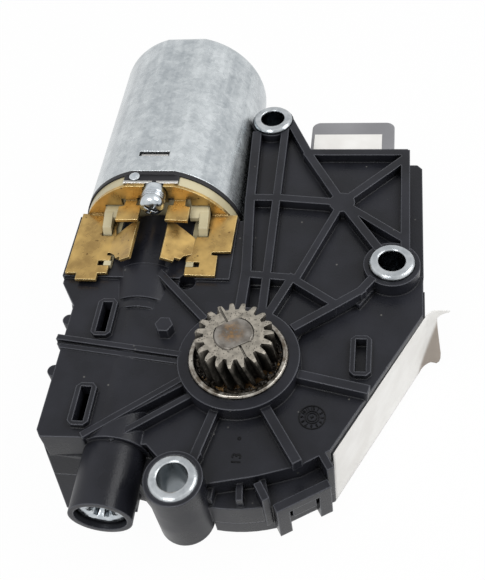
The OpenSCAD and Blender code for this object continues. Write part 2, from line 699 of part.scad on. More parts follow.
module bearing_ring() color([0.66, 0.65, 0.62])
  translate([0, 0, -3]) rotate_extrude($fn = 96)
    polygon([[ring_d / 2 - ring_wall, 0], [ring_d / 2, 0], [ring_d / 2, 3.55],
      [ring_d / 2 - 0.3, 3.85], [ring_d / 2 - ring_wall + 0.3, 3.85],
      [ring_d / 2 - ring_wall, 3.55]]);

module output_bush() color([0.6, 0.5, 0.36])
  difference() {
    post(chamber_top, -2.6, output_bush_r);
    post(-20, 1, output_d / 2 + fit);
  }

module shaft_seal() color([0.1, 0.1, 0.1])
  translate([0, 0, -1.75]) rotate_extrude($fn = 64)
    translate([output_d / 2 + 0.85, 0]) circle(r = 0.85 - 0.02, $fn = 24);

module gear_lid() color([0.62, 0.63, 0.64])
  difference() {
    union() {
      post(lid_z - lid_t, lid_z, lid_r - fit, [0, 0], 96);
      post(lid_z, wheel_bottom - 0.2, 8, [0, 0], 48);
    }
    post(-20, 1, output_d / 2 + fit);
  }

module sleeve(at, top_z, body_r, head_r) {
  difference() {
    union() {
      post(top_z - sleeve_length, top_z - 0.5, body_r, at);
      translate([at[0], at[1], top_z - collar_h]) rotate_extrude($fn = 64)
        polygon([[0, 0], [head_r, 0], [head_r, collar_h - 0.5], [head_r - 0.5, collar_h],
          [0, collar_h]]);
    }
    post(top_z - 30, top_z + 1, sleeve_bore / 2, at);
  }
}

module front_sleeve() color([0.74, 0.76, 0.78])
  sleeve(front_sleeve_at, front_face, front_sleeve_r, front_sleeve_r);
module side_sleeve() color([0.74, 0.76, 0.78])
  sleeve(side_sleeve_at, arm_face, sleeve_body_r, collar_r);
module rear_sleeve() color([0.74, 0.76, 0.78])
  sleeve(rear_sleeve_at, arm_face, sleeve_body_r, collar_r);

module tube_plug() color([0.76, 0.77, 0.78])
  difference() {
    along_y(tube_end + 2.2, tube_end + 6.4, tube_bore_r, fn = 48);
    translate([axis_x, tube_end + 2, axis_z]) rotate([0, 35, 0])
      translate([-3.4, 0, -0.7]) cube([6.8, 1.8, 1.4]);
    along_y(tube_end + 2, tube_end + 3.4, 2.2, fn = 32);
  }

module thrust_pad() color([0.9, 0.88, 0.8])
  difference() {
    along_y(tube_end + 6.4, -23, tube_bore_r, fn = 48);
    along_y(-27, -20, shaft_d / 2 + fit, fn = 48);
  }

module brush_springs() color([0.7, 0.7, 0.7])
  for (s = [-1, 1]) translate([axis_x + s * spring_x, (brush_from + brush_to) / 2, axis_z])
    rotate([0, s * 90, 0])
      for (i = [0 : 2]) translate([0, 0, spring_pitch * i])
        rotate_extrude($fn = 32) translate([1.6, 0]) circle(r = spring_wire, $fn = 16);

module circuit_board() color([0.12, 0.33, 0.2])
  difference() {
    slab(board_z, board_top, [[-36, 34], [-36, 8], [-24, -14], [-2, -22], [10, -21], [18, -16],
      [36.4, 18], [36.4, 58], [2.4, 58], [2.4, 46], [-2, 34]]);
    post(-40, 0, front_tower_r + 0.8, front_sleeve_at);
    post(-40, 5, well_r + 2, side_sleeve_at);
  }

relay_top = -5.6;
module drive_relays() color([0.16, 0.17, 0.2]) {
  block(6.4, 18.4, 32, 48, board_top, relay_top);
  block(19.4, 31.4, 36, 52, board_top, relay_top);
}

module control_chip() color([0.1, 0.1, 0.11]) {
  block(12, 21, 12.6, 21.6, board_top, board_top + 1.6);
  for (i = [0 : 7]) {
    block(10.6, 12.1, 13 + i * 1.1, 13.4 + i * 1.1, board_top, board_top + 0.4);
    block(20.9, 22.4, 13 + i * 1.1, 13.4 + i * 1.1, board_top, board_top + 0.4);
  }
}

module hall_sensor() color([0.1, 0.1, 0.11])
  block(axis_x - 2, axis_x + 2, 23, 26, board_top, axis_z - ring_magnet_r - gap);

module connector_header() color([0.55, 0.56, 0.58])
  difference() {
    union() {
      translate([0, 0, header_z0]) linear_extrude(header_z1 - header_z0)
        rounded_box(header_x0, header_x1, 61, 84.5, 2.4);
      block(header_x0 + 2, header_x1 - 2, 54, 61.5, board_top, header_z1 - 4);
    }
    block(header_x0 + 2, header_x1 - 2, 66, 90, header_z0 + 2, header_z1 - 2);
    for (i = [0 : 9]) pin_bar(i);
  }

module rounded_box(x0, x1, y0, y1, r) {
  translate([x0, y0]) square([x1 - x0, y1 - y0 - r]);
  translate([x0 + r, y0]) square([x1 - x0 - 2 * r, y1 - y0]);
  for (x = [x0 + r, x1 - r]) translate([x, y1 - r]) circle(r = r, $fn = 32);
}

module pin_bar(i) {
  x = header_x0 + 4.2 + (i % 5) * 3.6;
  z = header_z0 + (i < 5 ? 5 : 8.6);
  block(x - 0.32, x + 0.32, 53, 76, z - 0.32, z + 0.32);
}

module connector_pins() color([0.82, 0.72, 0.42])
  for (i = [0 : 9]) pin_bar(i);

module side_label() color([0.93, 0.92, 0.89]) {
  label_t = 0.16;
  label_low = -28.3;
  label_high = -6.1;
  stuck_to = 41.7;
  curl_r = 3;
  peeled_end = 2.8;
  wall_turn = atan2(36.3, 19.3);
  translate([21.5, -19.5, 0]) rotate([0, 0, wall_turn]) {
    block(0.2, stuck_to, -label_t, 0, label_low, label_high);
    translate([stuck_to, -curl_r, 0]) {
      translate([0, 0, label_low]) rotate([0, 0, 90 - wall_turn])
        rotate_extrude(angle = wall_turn) translate([curl_r - label_t, 0])
          square([label_t, label_high - label_low]);
      rotate([0, 0, -wall_turn])
        block(0, peeled_end, curl_r - label_t, curl_r, label_low, label_high);
    }
  }
}

module box_label() color([0.9, 0.9, 0.88])
  block(header_x0 + 0.8, header_x1 - 3.4, 67.5, 79.5, header_z1, header_z1 + 0.16);

module brush(s)
  box_side(s, commutator_r + fit, commutator_r + fit + brush_length, brush_from, brush_to,
    -2.5, 2.5);

module brush_left() color([0.2, 0.18, 0.17]) brush(-1);
module brush_right() color([0.2, 0.18, 0.17]) brush(1);

module armature_shaft() color([0.7, 0.7, 0.72])
  along_y(-26.6, can_end + 1.2, shaft_d / 2, fn = 48);

stack_from = 55;
slots = 10;
module lamination_stack() color([0.45, 0.46, 0.48])
  translate([axis_x, stack_from, axis_z]) rotate([-90, 0, 0])
    linear_extrude(stack_length) difference() {
      circle(r = stack_d / 2, $fn = 80);
      circle(r = shaft_d / 2, $fn = 48);
      for (i = [0 : slots - 1]) rotate(i * 360 / slots) {
        translate([stack_d / 2 - 5.4, 0]) circle(r = 2.2, $fn = 24);
        translate([stack_d / 2 - 4, -0.8]) square([6, 1.6]);
      }
    }

module windings() color([0.72, 0.4, 0.2]) {
  translate([axis_x, 0, axis_z]) rotate([-90, 0, 0]) {
    for (y = [stack_from - 5.4, stack_from + stack_length]) translate([0, 0, y])
      rotate_extrude($fn = 72) polygon([[6, 0], [12.6, 0], [13.6, 1], [13.6, 4.4], [12.6, 5.4],
        [6, 5.4]]);
    for (i = [0 : slots - 1]) rotate([0, 0, i * 360 / slots])
      translate([stack_d / 2 - 5.4, 0, stack_from - 1])
        cylinder(r = 1.9, h = stack_length + 2, $fn = 20);
  }
}

module commutator() color([0.72, 0.45, 0.26])
  translate([axis_x, 28.8, axis_z]) rotate([-90, 0, 0])
    linear_extrude(8.4) difference() {
      circle(r = commutator_r, $fn = 80);
      circle(r = shaft_d / 2, $fn = 48);
      for (i = [0 : slots - 1]) rotate(i * 360 / slots + 18)
        translate([commutator_r - 1.2, -0.25]) square([2, 0.5]);
    }

// Worm: one helical thread swept along the shaft.
function thread_r(u) =
  u < thread_tip / 2 ? worm_tip_r :
  u < thread_root / 2 + 0.1 ? worm_tip_r - (worm_tip_r - worm_root_r) *
    (u - thread_tip / 2) / (thread_root / 2 + 0.1 - thread_tip / 2) :
  worm_root_r;

module worm() color([0.68, 0.69, 0.71]) {
  steps = 30;
  turns = worm_length / worm_lead;
  difference() {
    translate([axis_x, -worm_length / 2, axis_z]) rotate([-90, 0, 0])
      linear_extrude(worm_length, twist = -360 * turns, slices = ceil(turns * 13))
        rotate(180 - 180 * turns)
          polygon([for (i = [0 : steps - 1]) let (u = abs(i / steps - 0.5) * worm_lead)
            thread_r(u) * [cos(i * 360 / steps), sin(i * 360 / steps)]]);
    along_y(-20, 20, shaft_d / 2, fn = 48);
  }
}

module ring_magnet() color([0.2, 0.2, 0.21])
  difference() {
    along_y(22.6, 26.4, ring_magnet_r, fn = 48);
    along_y(20, 30, shaft_d / 2, fn = 48);
  }

tooth_root_w = 1.24;
tooth_tip_w = 0.5;
module wheel_ring_2d()
  difference() {
    union() {
      circle(r = wheel_root_r, $fn = wheel_teeth * 2);
      for (i = [0 : wheel_teeth - 1]) rotate(i * 360 / wheel_teeth)
        polygon([[wheel_root_r - 0.4, -tooth_root_w / 2], [wheel_tip_r, -tooth_tip_w / 2],
          [wheel_tip_r, tooth_tip_w / 2], [wheel_root_r - 0.4, tooth_root_w / 2]]);
    }
    circle(r = wheel_root_r - 2.6, $fn = 96);
  }

module shaft_2d(r, flats)
  rotate(wheel_phase) intersection() {
    circle(r = r, $fn = 64);
    square([2 * r + 1, flats], center = true);
  }

wheel_phase = 30;
module worm_wheel() color([0.86, 0.84, 0.76]) {
  lean_turn = wheel_width * tan(lead_angle) / (wheel_pitch_d / 2) * 180 / PI;
  rotate([0, 0, 180 / wheel_teeth + lean_turn / -2])
    translate([0, 0, wheel_bottom]) linear_extrude(wheel_width, twist = -lean_turn, slices = 2)
      wheel_ring_2d();
  difference() {
    union() {
      post(wheel_bottom + 1.4, wheel_top - 1.4, wheel_root_r - 2.5, [0, 0], 96);
      post(wheel_bottom, wheel_top, 9);
      for (a = [0 : 45 : 315]) rotate([0, 0, a])
        block(8, wheel_root_r - 2.5, -0.6, 0.6, wheel_bottom + 0.5, wheel_top - 0.5);
    }
    translate([0, 0, -30]) linear_extrude(60) shaft_2d(output_d / 2, output_flats);
  }
}

module output_shaft() color([0.6, 0.59, 0.57]) {
  top = pinion_height + 0.2;
  difference() {
    translate([0, 0, lid_z - lid_t - 0.6]) rotate_extrude($fn = 64)
      polygon([[0, 0], [output_d / 2, 0], [output_d / 2, top - lid_z + lid_t + 0.2],
        [output_d / 2 - 0.4, top - lid_z + lid_t + 0.6], [0, top - lid_z + lid_t + 0.6]]);
    // Two flats under the pinion and two inside the wheel.
    for (s = [0, 180]) rotate([0, 0, wheel_phase + s]) {
      block(-output_d, output_d, output_flats / 2, output_d, pinion_foot, top + 1);
      block(-output_d, output_d, output_flats / 2, output_d, wheel_bottom - fit, wheel_top + fit);
    }
  }
}

// Helical pinion: tooth outline swept with a left-hand lean.
module pinion_2d() {
  pitch_a = 360 / pinion_teeth;
  pts = [for (i = [0 : pinion_teeth - 1]) for (p = [[-0.33, 0], [-0.2, 0.58], [-0.1, 1],
      [0.1, 1], [0.2, 0.58], [0.33, 0]])
    let (a = (i + p[0]) * pitch_a, r = pinion_root_r + p[1] * (pinion_tip_r - pinion_root_r))
      [r * cos(a), r * sin(a)]];
  polygon(pts);
}

module pinion() color([0.62, 0.6, 0.57]) {
  tall = pinion_height - pinion_foot;
  lean_turn = tall * tan(pinion_lean) / pinion_pitch_r * 180 / PI;
  difference() {
    intersection() {
      translate([0, 0, pinion_foot]) linear_extrude(tall, twist = lean_turn, slices = 10)
        pinion_2d();
      translate([0, 0, pinion_foot]) rotate_extrude($fn = 76)
        polygon([[0, 0], [pinion_tip_r - 0.5, 0], [pinion_tip_r + 0.1, 0.5],
          [pinion_tip_r + 0.1, tall - 0.5], [pinion_tip_r - 0.5, tall], [0, tall]]);
    }
    translate([0, 0, -30]) linear_extrude(60) shaft_2d(output_d / 2, output_flats);
    // Shallow assembly groove across the top face.
    rotate([0, 0, wheel_phase + 90])
      block(-pinion_tip_r, pinion_tip_r, -0.25, 0.25, pinion_height - 0.35, pinion_height + 1);
  }
}

module retaining_ring() color([0.45, 0.46, 0.48])
  difference() {
    post(wheel_top + 0.02, wheel_top + 0.28, 6.2);
    post(-30, 1, output_d / 2);
  }

gear_housing();
rear_cover();
motor_can();
end_plate();
brush_carrier();
terminal_plate_left();
terminal_plate_right();
clamp_strip();
carrier_screw();
carrier_rivet();
field_magnets();
can_bearing();
front_bearing();
bearing_ring();
output_bush();
shaft_seal();
gear_lid();
front_sleeve();
side_sleeve();
rear_sleeve();
tube_plug();
thrust_pad();
brush_springs();
circuit_board();
drive_relays();
control_chip();
hall_sensor();
connector_header();
connector_pins();
side_label();
box_label();
brush_left();
brush_right();
armature_shaft();
lamination_stack();
windings();
commutator();
worm();
ring_magnet();
worm_wheel();
output_shaft();
pinion();
retaining_ring();
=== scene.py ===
# %% [markdown]
# # A sunroof motor and its finishes
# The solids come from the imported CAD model: gear housing, motor can, brush gear,
# gears and connector all stand in their real places already. This lesson gives
# each of them the finish of the real part, and makes the pieces that are too thin
# or too irregular for a solid: the paper label, the grease and the mould marks.

import math
import random

import bmesh
import bpy
from mathutils import Matrix, Vector


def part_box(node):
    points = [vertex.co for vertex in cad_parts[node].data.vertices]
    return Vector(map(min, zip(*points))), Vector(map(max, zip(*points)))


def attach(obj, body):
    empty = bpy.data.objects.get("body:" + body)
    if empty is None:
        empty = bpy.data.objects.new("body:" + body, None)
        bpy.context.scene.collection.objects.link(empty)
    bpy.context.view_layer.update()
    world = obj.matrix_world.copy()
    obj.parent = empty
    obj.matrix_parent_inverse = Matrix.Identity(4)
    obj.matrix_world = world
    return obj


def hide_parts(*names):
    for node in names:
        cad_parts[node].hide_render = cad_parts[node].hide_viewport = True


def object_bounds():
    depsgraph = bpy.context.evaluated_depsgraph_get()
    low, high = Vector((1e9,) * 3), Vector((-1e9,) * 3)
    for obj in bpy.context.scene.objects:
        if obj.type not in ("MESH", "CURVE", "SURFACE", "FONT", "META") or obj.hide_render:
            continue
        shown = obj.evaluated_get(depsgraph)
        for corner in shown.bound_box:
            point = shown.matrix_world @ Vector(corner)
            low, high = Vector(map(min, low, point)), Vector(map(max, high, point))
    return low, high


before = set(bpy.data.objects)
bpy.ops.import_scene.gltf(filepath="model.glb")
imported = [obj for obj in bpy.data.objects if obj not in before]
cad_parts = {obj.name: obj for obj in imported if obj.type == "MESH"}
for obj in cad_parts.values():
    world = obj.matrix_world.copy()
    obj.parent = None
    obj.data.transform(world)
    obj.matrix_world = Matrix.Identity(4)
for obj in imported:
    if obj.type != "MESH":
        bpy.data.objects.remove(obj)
cad_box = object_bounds()
MM = 0.001
print("CAD box in mm:", [[round(c / MM, 1) for c in corner] for corner in cad_box])

# %% [markdown]
# ## Camera
# The photograph was taken from above the worm tube, with the camera turned a
# little to one side and rolled by ten degrees. A look-at constraint can't give a
# roll, so the three axes of the camera are written down and become its matrix.
# The lens is a focal length in pixels of the 485 x 580 picture.

# %% Camera
PHOTO_WIDTH, PHOTO_HEIGHT = 485, 580
FOCAL_PIXELS = 864.4
OPTICAL_CENTRE = (246.41, 289.52)
camera_right = Vector((0.98759838, 0.11481201, -0.10708706))
camera_up = Vector((-0.02373575, 0.7834225, 0.62103607))
camera_ahead = Vector((-0.15519681, 0.61079243, -0.77643194))
camera_at = Vector((30.938, -104.333, 156.528)) * MM

camera_data = bpy.data.cameras.new("photo_camera")
camera = bpy.data.objects.new("photo_camera", camera_data)
bpy.context.scene.collection.objects.link(camera)
axes = Matrix((camera_right, camera_up, -camera_ahead)).transposed()
camera.matrix_world = Matrix.Translation(camera_at) @ axes.to_4x4()
camera_data.sensor_width = 36
camera_data.lens = FOCAL_PIXELS / PHOTO_HEIGHT * camera_data.sensor_width
camera_data.shift_x = (PHOTO_WIDTH / 2 - OPTICAL_CENTRE[0]) / PHOTO_HEIGHT
camera_data.shift_y = (OPTICAL_CENTRE[1] - PHOTO_HEIGHT / 2) / PHOTO_HEIGHT
camera_data.clip_start, camera_data.clip_end = 0.01, 10
bpy.context.scene.camera = camera
print("lens in mm:", round(camera_data.lens, 2))

# %% [markdown]
# ## Helpers for node trees
# Every finish is a small tree of nodes. These helpers place a node, fill its
# sockets with values or links, and do sums, so that each recipe reads as a list.


# %% Node helpers
def place(tree, kind, sockets=None, **settings):
    """Adds a node, sets its options, then fills its input sockets."""
    node = tree.nodes.new(kind)
    for name, value in settings.items():
        setattr(node, name, value)
    for key, value in (sockets or {}).items():
        if isinstance(value, bpy.types.NodeSocket):
            tree.links.new(value, node.inputs[key])
        else:
            node.inputs[key].default_value = value
    return node


def sums(tree, operation, first, second=0.0, third=0.0):
    sockets = {0: first, 1: second, 2: third}
    return place(tree, "ShaderNodeMath", sockets, operation=operation).outputs[0]


def spread(tree, value, low, high, to_low=0.0, to_high=1.0):
    """Maps a range of values to another, smoothly and clamped."""
    sockets = {0: value, 1: low, 2: high, 3: to_low, 4: to_high}
    node = place(tree, "ShaderNodeMapRange", sockets, interpolation_type="SMOOTHSTEP")
    return node.outputs[0]


def blend_colours(tree, factor, first, second, way="MIX"):
    sockets = {0: factor, 6: first, 7: second}
    node = place(tree, "ShaderNodeMix", sockets, data_type="RGBA", blend_type=way)
    return node.outputs[2]


def paint(red, green, blue):
    """A colour picked as 0 to 255 values, turned into the linear one."""
    channels = []
    for value in (red, green, blue):
        share = value / 255
        linear = share / 12.92 if share < 0.04045 else ((share + 0.055) / 1.055) ** 2.4
        channels.append(linear)
    return (*channels, 1.0)


print("mid grey in linear light:", round(paint(128, 128, 128)[0], 3))

# %% [markdown]
# ## Shared effects
# Moulded and pressed parts never have knife edges. A Bevel node bends the shading
# normal near an edge, and the angle between it and the true normal is a mask for
# brighter edges, partly wear and partly painted highlight. Ambient occlusion tells
# the outer corners from the inner ones, which are darkened as painted shade.


# %% Effect groups
def new_group(name, inputs, outputs):
    tree = bpy.data.node_groups.new(name, "ShaderNodeTree")
    for title, value in inputs.items():
        kind = "NodeSocketVector" if isinstance(value, tuple) else "NodeSocketFloat"
        tree.interface.new_socket(title, in_out="INPUT", socket_type=kind).default_value = value
    for title, kind in outputs.items():
        tree.interface.new_socket(title, in_out="OUTPUT", socket_type="NodeSocket" + kind)
    return tree, tree.nodes.new("NodeGroupInput"), tree.nodes.new("NodeGroupOutput")


# Edge mask: outer edges, lightened partly as wear and partly as painted highlight. Hollow mask:
# inner corners and recesses, darkened as painted shade.
edges, start, end = new_group(
    "edge_highlight_and_hollow_shade", {"Radius": 0.0003, "Reach": 0.002},
    {"Edge_wear_and_highlight": "Float", "Hollow_shade": "Float", "Normal": "Vector"})
bevel = place(edges, "ShaderNodeBevel", {0: start.outputs["Radius"]}, samples=6)
true_normal = place(edges, "ShaderNodeNewGeometry").outputs["Normal"]
facing = place(edges, "ShaderNodeVectorMath", {0: bevel.outputs[0], 1: true_normal},
               operation="DOT_PRODUCT").outputs["Value"]
open_sky = place(edges, "ShaderNodeAmbientOcclusion", {"Distance": start.outputs["Reach"]},
                 samples=6).outputs["AO"]
turned = spread(edges, facing, 0.998, 0.86)
edges.links.new(sums(edges, "MULTIPLY", turned, spread(edges, open_sky, 0.6, 0.9)),
                end.inputs["Edge_wear_and_highlight"])
edges.links.new(spread(edges, open_sky, 0.85, 0.25), end.inputs["Hollow_shade"])
edges.links.new(bevel.outputs[0], end.inputs["Normal"])

grain, start, end = new_group(
    "fine_grain", {"Scale": 2500.0, "Broad": 60.0}, {"Tone": "Float", "Height": "Float"})
here = place(grain, "ShaderNodeTexCoord").outputs["Object"]
fine = place(grain, "ShaderNodeTexNoise",
             {"Vector": here, "Scale": start.outputs["Scale"], "Detail": 3.0}).outputs[0]
broad = place(grain, "ShaderNodeTexNoise",
              {"Vector": here, "Scale": start.outputs["Broad"], "Detail": 5.0}).outputs[0]
grain.links.new(spread(grain, broad, 0.3, 0.7), end.inputs["Tone"])
grain.links.new(fine, end.inputs["Height"])

spangle, start, end = new_group(
    "zinc_spangle", {"Scale": 260.0}, {"Tone": "Float", "Height": "Float"})
here = place(spangle, "ShaderNodeTexCoord").outputs["Object"]
wander = place(spangle, "ShaderNodeTexNoise", {"Vector": here, "Scale": 220.0, "Detail": 4.0})
bent = place(spangle, "ShaderNodeVectorMath",
             {0: wander.outputs["Color"], 1: (0.0035, 0.0035, 0.0035), 2: here},
             operation="MULTIPLY_ADD").outputs[0]
cells = place(spangle, "ShaderNodeTexVoronoi",
              {"Vector": bent, "Scale": start.outputs["Scale"]}, feature="F1")
split = place(spangle, "ShaderNodeSeparateColor", {0: cells.outputs["Color"]}).outputs[0]
cloud = place(spangle, "ShaderNodeTexNoise",
              {"Vector": here, "Scale": 160.0, "Detail": 8.0, "Roughness": 0.75}).outputs[0]
drawn = place(spangle, "ShaderNodeVectorMath", {0: here, 1: (260.0, 9.0, 260.0)},
              operation="MULTIPLY").outputs[0]
bands = place(spangle, "ShaderNodeTexNoise",
              {"Vector": drawn, "Scale": 1.0, "Detail": 4.0}).outputs[0]
mixed = sums(spangle, "MULTIPLY_ADD", spread(spangle, bands, 0.3, 0.7), 0.35,
             sums(spangle, "MULTIPLY", spread(spangle, cloud, 0.3, 0.7), 0.45))
spangle.links.new(sums(spangle, "MULTIPLY_ADD", split, 0.2, mixed), end.inputs["Tone"])
spangle.links.new(cells.outputs["Distance"], end.inputs["Height"])

streaks, start, end = new_group(
    "drawn_streaks", {"Stretch": (600.0, 12.0, 600.0)}, {"Tone": "Float"})
here = place(streaks, "ShaderNodeTexCoord").outputs["Object"]
pulled = place(streaks, "ShaderNodeVectorMath", {0: here, 1: start.outputs["Stretch"]},
               operation="MULTIPLY").outputs[0]
lines = place(streaks, "ShaderNodeTexNoise",
              {"Vector": pulled, "Scale": 1.0, "Detail": 5.0, "Roughness": 0.65}).outputs[0]
streaks.links.new(spread(streaks, lines, 0.32, 0.68), end.inputs["Tone"])

specks, start, end = new_group(
    "loose_specks", {"Scale": 900.0, "Share": 0.12}, {"Mask": "Float"})
here = place(specks, "ShaderNodeTexCoord").outputs["Object"]
dots = place(specks, "ShaderNodeTexVoronoi",
             {"Vector": here, "Scale": start.outputs["Scale"], "Randomness": 1.0})
chance = place(specks, "ShaderNodeSeparateColor", {0: dots.outputs["Color"]}).outputs[1]
picked = sums(specks, "LESS_THAN", chance, start.outputs["Share"])
near = spread(specks, dots.outputs["Distance"], 0.34, 0.12)
specks.links.new(sums(specks, "MULTIPLY", picked, near), end.inputs["Mask"])
print("effect groups:", [g.name for g in bpy.data.node_groups])

# %% [markdown]
# ## One recipe for most finishes
# A plastic and a plated steel differ in their numbers more than in their build-up:
# two tones that drift into each other, a fine relief, brighter edges (partly wear,
# partly painted highlight), painted shade in hollows and a few specks. The recipe
# keeps the shader in the material and reads the masks from the groups.


# %% The recipe
def use_group(tree, group, **values):
    node = tree.nodes.new("ShaderNodeGroup")
    node.node_tree = group
    for title, value in values.items():
        node.inputs[title].default_value = value
    return node


def finish(name, light, dark, roughness, metallic=0.0, relief=0.02, grain_scale=2500.0,
           broad=60.0, edge_wear_and_highlight_colour=None, edge_wear_and_highlight_share=0.5, painted_shade_colour=(0.01, 0.01, 0.01, 1),
           painted_shade_share=0.3, edge_radius=0.3, pattern=None, speck_colour=None,
           speck_share=0.1, speck_scale=900.0, shine=0.5, painted_shade_reach=2.0):
    """A material with drifting tone, relief, edges lightened by wear and painted highlight,
    painted shade in hollows, and specks.
    """
    material = bpy.data.materials.new(name)
    material.use_nodes = True
    tree = material.node_tree
    tree.nodes.clear()
    edge = use_group(tree, edges, Radius=edge_radius * MM, Reach=painted_shade_reach * MM)
    texture = use_group(tree, grain, Scale=grain_scale, Broad=broad)
    tone, height = texture.outputs["Tone"], texture.outputs["Height"]
    if pattern:
        group, values = pattern
        tone = use_group(tree, group, **values).outputs["Tone"]
    colour = blend_colours(tree, tone, dark, light)
    if speck_colour:
        spots = use_group(tree, specks, Scale=speck_scale, Share=speck_share)
        colour = blend_colours(tree, spots.outputs["Mask"], colour, speck_colour)
    # Painted shade: inner corners and recesses turn towards the darker shade colour.
    shade_amount = sums(tree, "MULTIPLY", edge.outputs["Hollow_shade"], painted_shade_share)
    colour = blend_colours(tree, shade_amount, colour, painted_shade_colour)
    # Painted highlight, partly wear: outer edges turn towards a lighter colour.
    if edge_wear_and_highlight_colour:
        highlight_amount = sums(tree, "MULTIPLY", edge.outputs["Edge_wear_and_highlight"], edge_wear_and_highlight_share)
        colour = blend_colours(tree, highlight_amount, colour, edge_wear_and_highlight_colour)
    bump = place(tree, "ShaderNodeBump", {
        "Strength": 1.0, "Distance": relief * MM, "Height": height,
        "Normal": edge.outputs["Normal"]})
    sheen = spread(tree, tone, 0.0, 1.0, roughness[0], roughness[1])
    surface = place(tree, "ShaderNodeBsdfPrincipled", {
        "Base Color": colour, "Roughness": sheen, "Metallic": metallic,
        "Specular IOR Level": shine, "Normal": bump.outputs[0]})
    output = place(tree, "ShaderNodeOutputMaterial", {0: surface.outputs[0]})
    output.name = "output"
    return material


def surface_of(material):
    """The Principled node of a finish, and the colour that feeds it."""
    surface = next(n for n in material.node_tree.nodes if n.type == "BSDF_PRINCIPLED")
    return surface, surface.inputs["Base Color"].links[0].from_socket


def coat(material, *names):
    """Gives a finish to CAD nodes, through their material slots."""
    for name in names:
        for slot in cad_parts[name].material_slots:
            slot.material = material
    print(material.name, "on", ", ".join(names))


# %% [markdown]
# ## Housing plastic
# The gear housing and its cover are moulded in glass-filled nylon. It is nearly
# black, half matt, with stray fibres and dust; its edges are lighter, partly where
# corners have rubbed and partly as painted highlight, and its hollows get painted
# shade. The gasket plate behind the can is the same black, but flat and matt.

# %% Housing plastic
black_plastic = finish(
    "black_plastic", paint(35, 36, 42), paint(25, 26, 31), (0.24, 0.4), relief=0.035,
    grain_scale=2400.0, broad=90.0, edge_wear_and_highlight_colour=paint(118, 120, 128), edge_wear_and_highlight_share=0.55,
    painted_shade_colour=paint(6, 6, 7), painted_shade_share=0.85, edge_radius=0.5,
    speck_colour=paint(96, 95, 92), speck_share=0.005, speck_scale=1100.0, shine=0.22)
coat(black_plastic, "gear_housing", "rear_cover")

gasket_black = finish(
    "gasket_black", paint(34, 34, 37), paint(24, 24, 27), (0.45, 0.6), relief=0.01,
    edge_wear_and_highlight_colour=paint(95, 96, 98), edge_wear_and_highlight_share=0.5, shine=0.3)
coat(gasket_black, "end_plate")

chip_black = finish(
    "chip_black", paint(34, 34, 36), paint(26, 26, 28), (0.5, 0.65), relief=0.01,
    edge_wear_and_highlight_colour=paint(70, 70, 72))
coat(chip_black, "control_chip", "hall_sensor", "drive_relays")

seal_rubber = finish(
    "seal_rubber", paint(28, 27, 26), paint(18, 18, 18), (0.35, 0.55), relief=0.01,
    edge_wear_and_highlight_colour=paint(60, 58, 56), edge_wear_and_highlight_share=0.3)
coat(seal_rubber, "shaft_seal")

# %% [markdown]
# ## Galvanised can
# The motor can is deep drawn from zinc-coated strip. Its zinc shows a soft mottle,
# drawn into faint streaks along the motor, and it is satin rather than bright.
# Voronoi cells bent by noise give the mottle, and stretched noise the streaks.

# %% Galvanised can
can_steel = finish(
    "can_steel", paint(216, 221, 223), paint(146, 153, 158), (0.2, 0.32), metallic=0.85,
    relief=0.008, grain_scale=1800.0, edge_wear_and_highlight_colour=paint(232, 235, 237), edge_wear_and_highlight_share=0.4,
    painted_shade_colour=paint(60, 62, 66), painted_shade_share=0.5, edge_radius=0.5,
    pattern=(spangle, {"Scale": 900.0}))
coat(can_steel, "motor_can")

# %% [markdown]
# ## Bright zinc
# The tube plug, the screw and the rivet are steel with a thin blue-white zinc
# plate. The three bore sleeves have rounder collars, so their Bevel radius is
# wider, and their bores get painted shade deeper inwards, so their occlusion
# reaches further.

# %% Bright zinc and bare steels
zinc_steel = finish(
    "zinc_steel", paint(200, 206, 210), paint(174, 181, 187), (0.12, 0.24), metallic=1.0,
    relief=0.004, grain_scale=2200.0, broad=700.0, edge_wear_and_highlight_colour=paint(232, 236, 240),
    edge_wear_and_highlight_share=0.5, painted_shade_colour=paint(36, 38, 42), painted_shade_share=0.75, edge_radius=0.55)
coat(zinc_steel, "carrier_screw", "carrier_rivet", "tube_plug")

sleeve_zinc = finish(
    "sleeve_zinc", paint(186, 190, 193), paint(158, 163, 167), (0.12, 0.2), metallic=1.0,
    relief=0.002, grain_scale=1800.0, broad=420.0, edge_wear_and_highlight_colour=paint(240, 243, 245),
    edge_wear_and_highlight_share=0.3, painted_shade_colour=paint(58, 70, 76), painted_shade_share=0.72, edge_radius=0.9,
    painted_shade_reach=8.0)
coat(sleeve_zinc, "front_sleeve", "side_sleeve", "rear_sleeve")

tin_strip = finish(
    "tin_strip", paint(206, 205, 202), paint(160, 158, 154), (0.2, 0.34), metallic=1.0,
    relief=0.003, edge_wear_and_highlight_colour=paint(250, 250, 250), edge_wear_and_highlight_share=0.6,
    pattern=(streaks, {"Stretch": (20.0, 600.0, 600.0)}))
coat(tin_strip, "clamp_strip")

ring_steel = finish(
    "ring_steel", paint(184, 180, 172), paint(96, 88, 78), (0.16, 0.38), metallic=1.0,
    relief=0.008, grain_scale=1400.0, broad=500.0, edge_wear_and_highlight_colour=paint(214, 210, 202),
    edge_wear_and_highlight_share=0.8, painted_shade_colour=paint(30, 25, 20), painted_shade_share=0.9, edge_radius=0.3,
    speck_colour=paint(44, 37, 30), speck_share=0.16, speck_scale=1400.0)
coat(ring_steel, "bearing_ring")

lid_steel = finish(
    "lid_steel", paint(190, 192, 194), paint(160, 163, 166), (0.3, 0.42), metallic=1.0,
    relief=0.005, edge_wear_and_highlight_colour=paint(225, 226, 228))
coat(lid_steel, "gear_lid")

# %% [markdown]
# ## Pinion and its shaft
# The pinion is sintered: iron powder pressed to shape, warm grey, with fine pores
# and dull flanks. The shaft end in it is plain steel with a rust bloom where water
# stood, so its stain is noise kept to the middle of the end face.

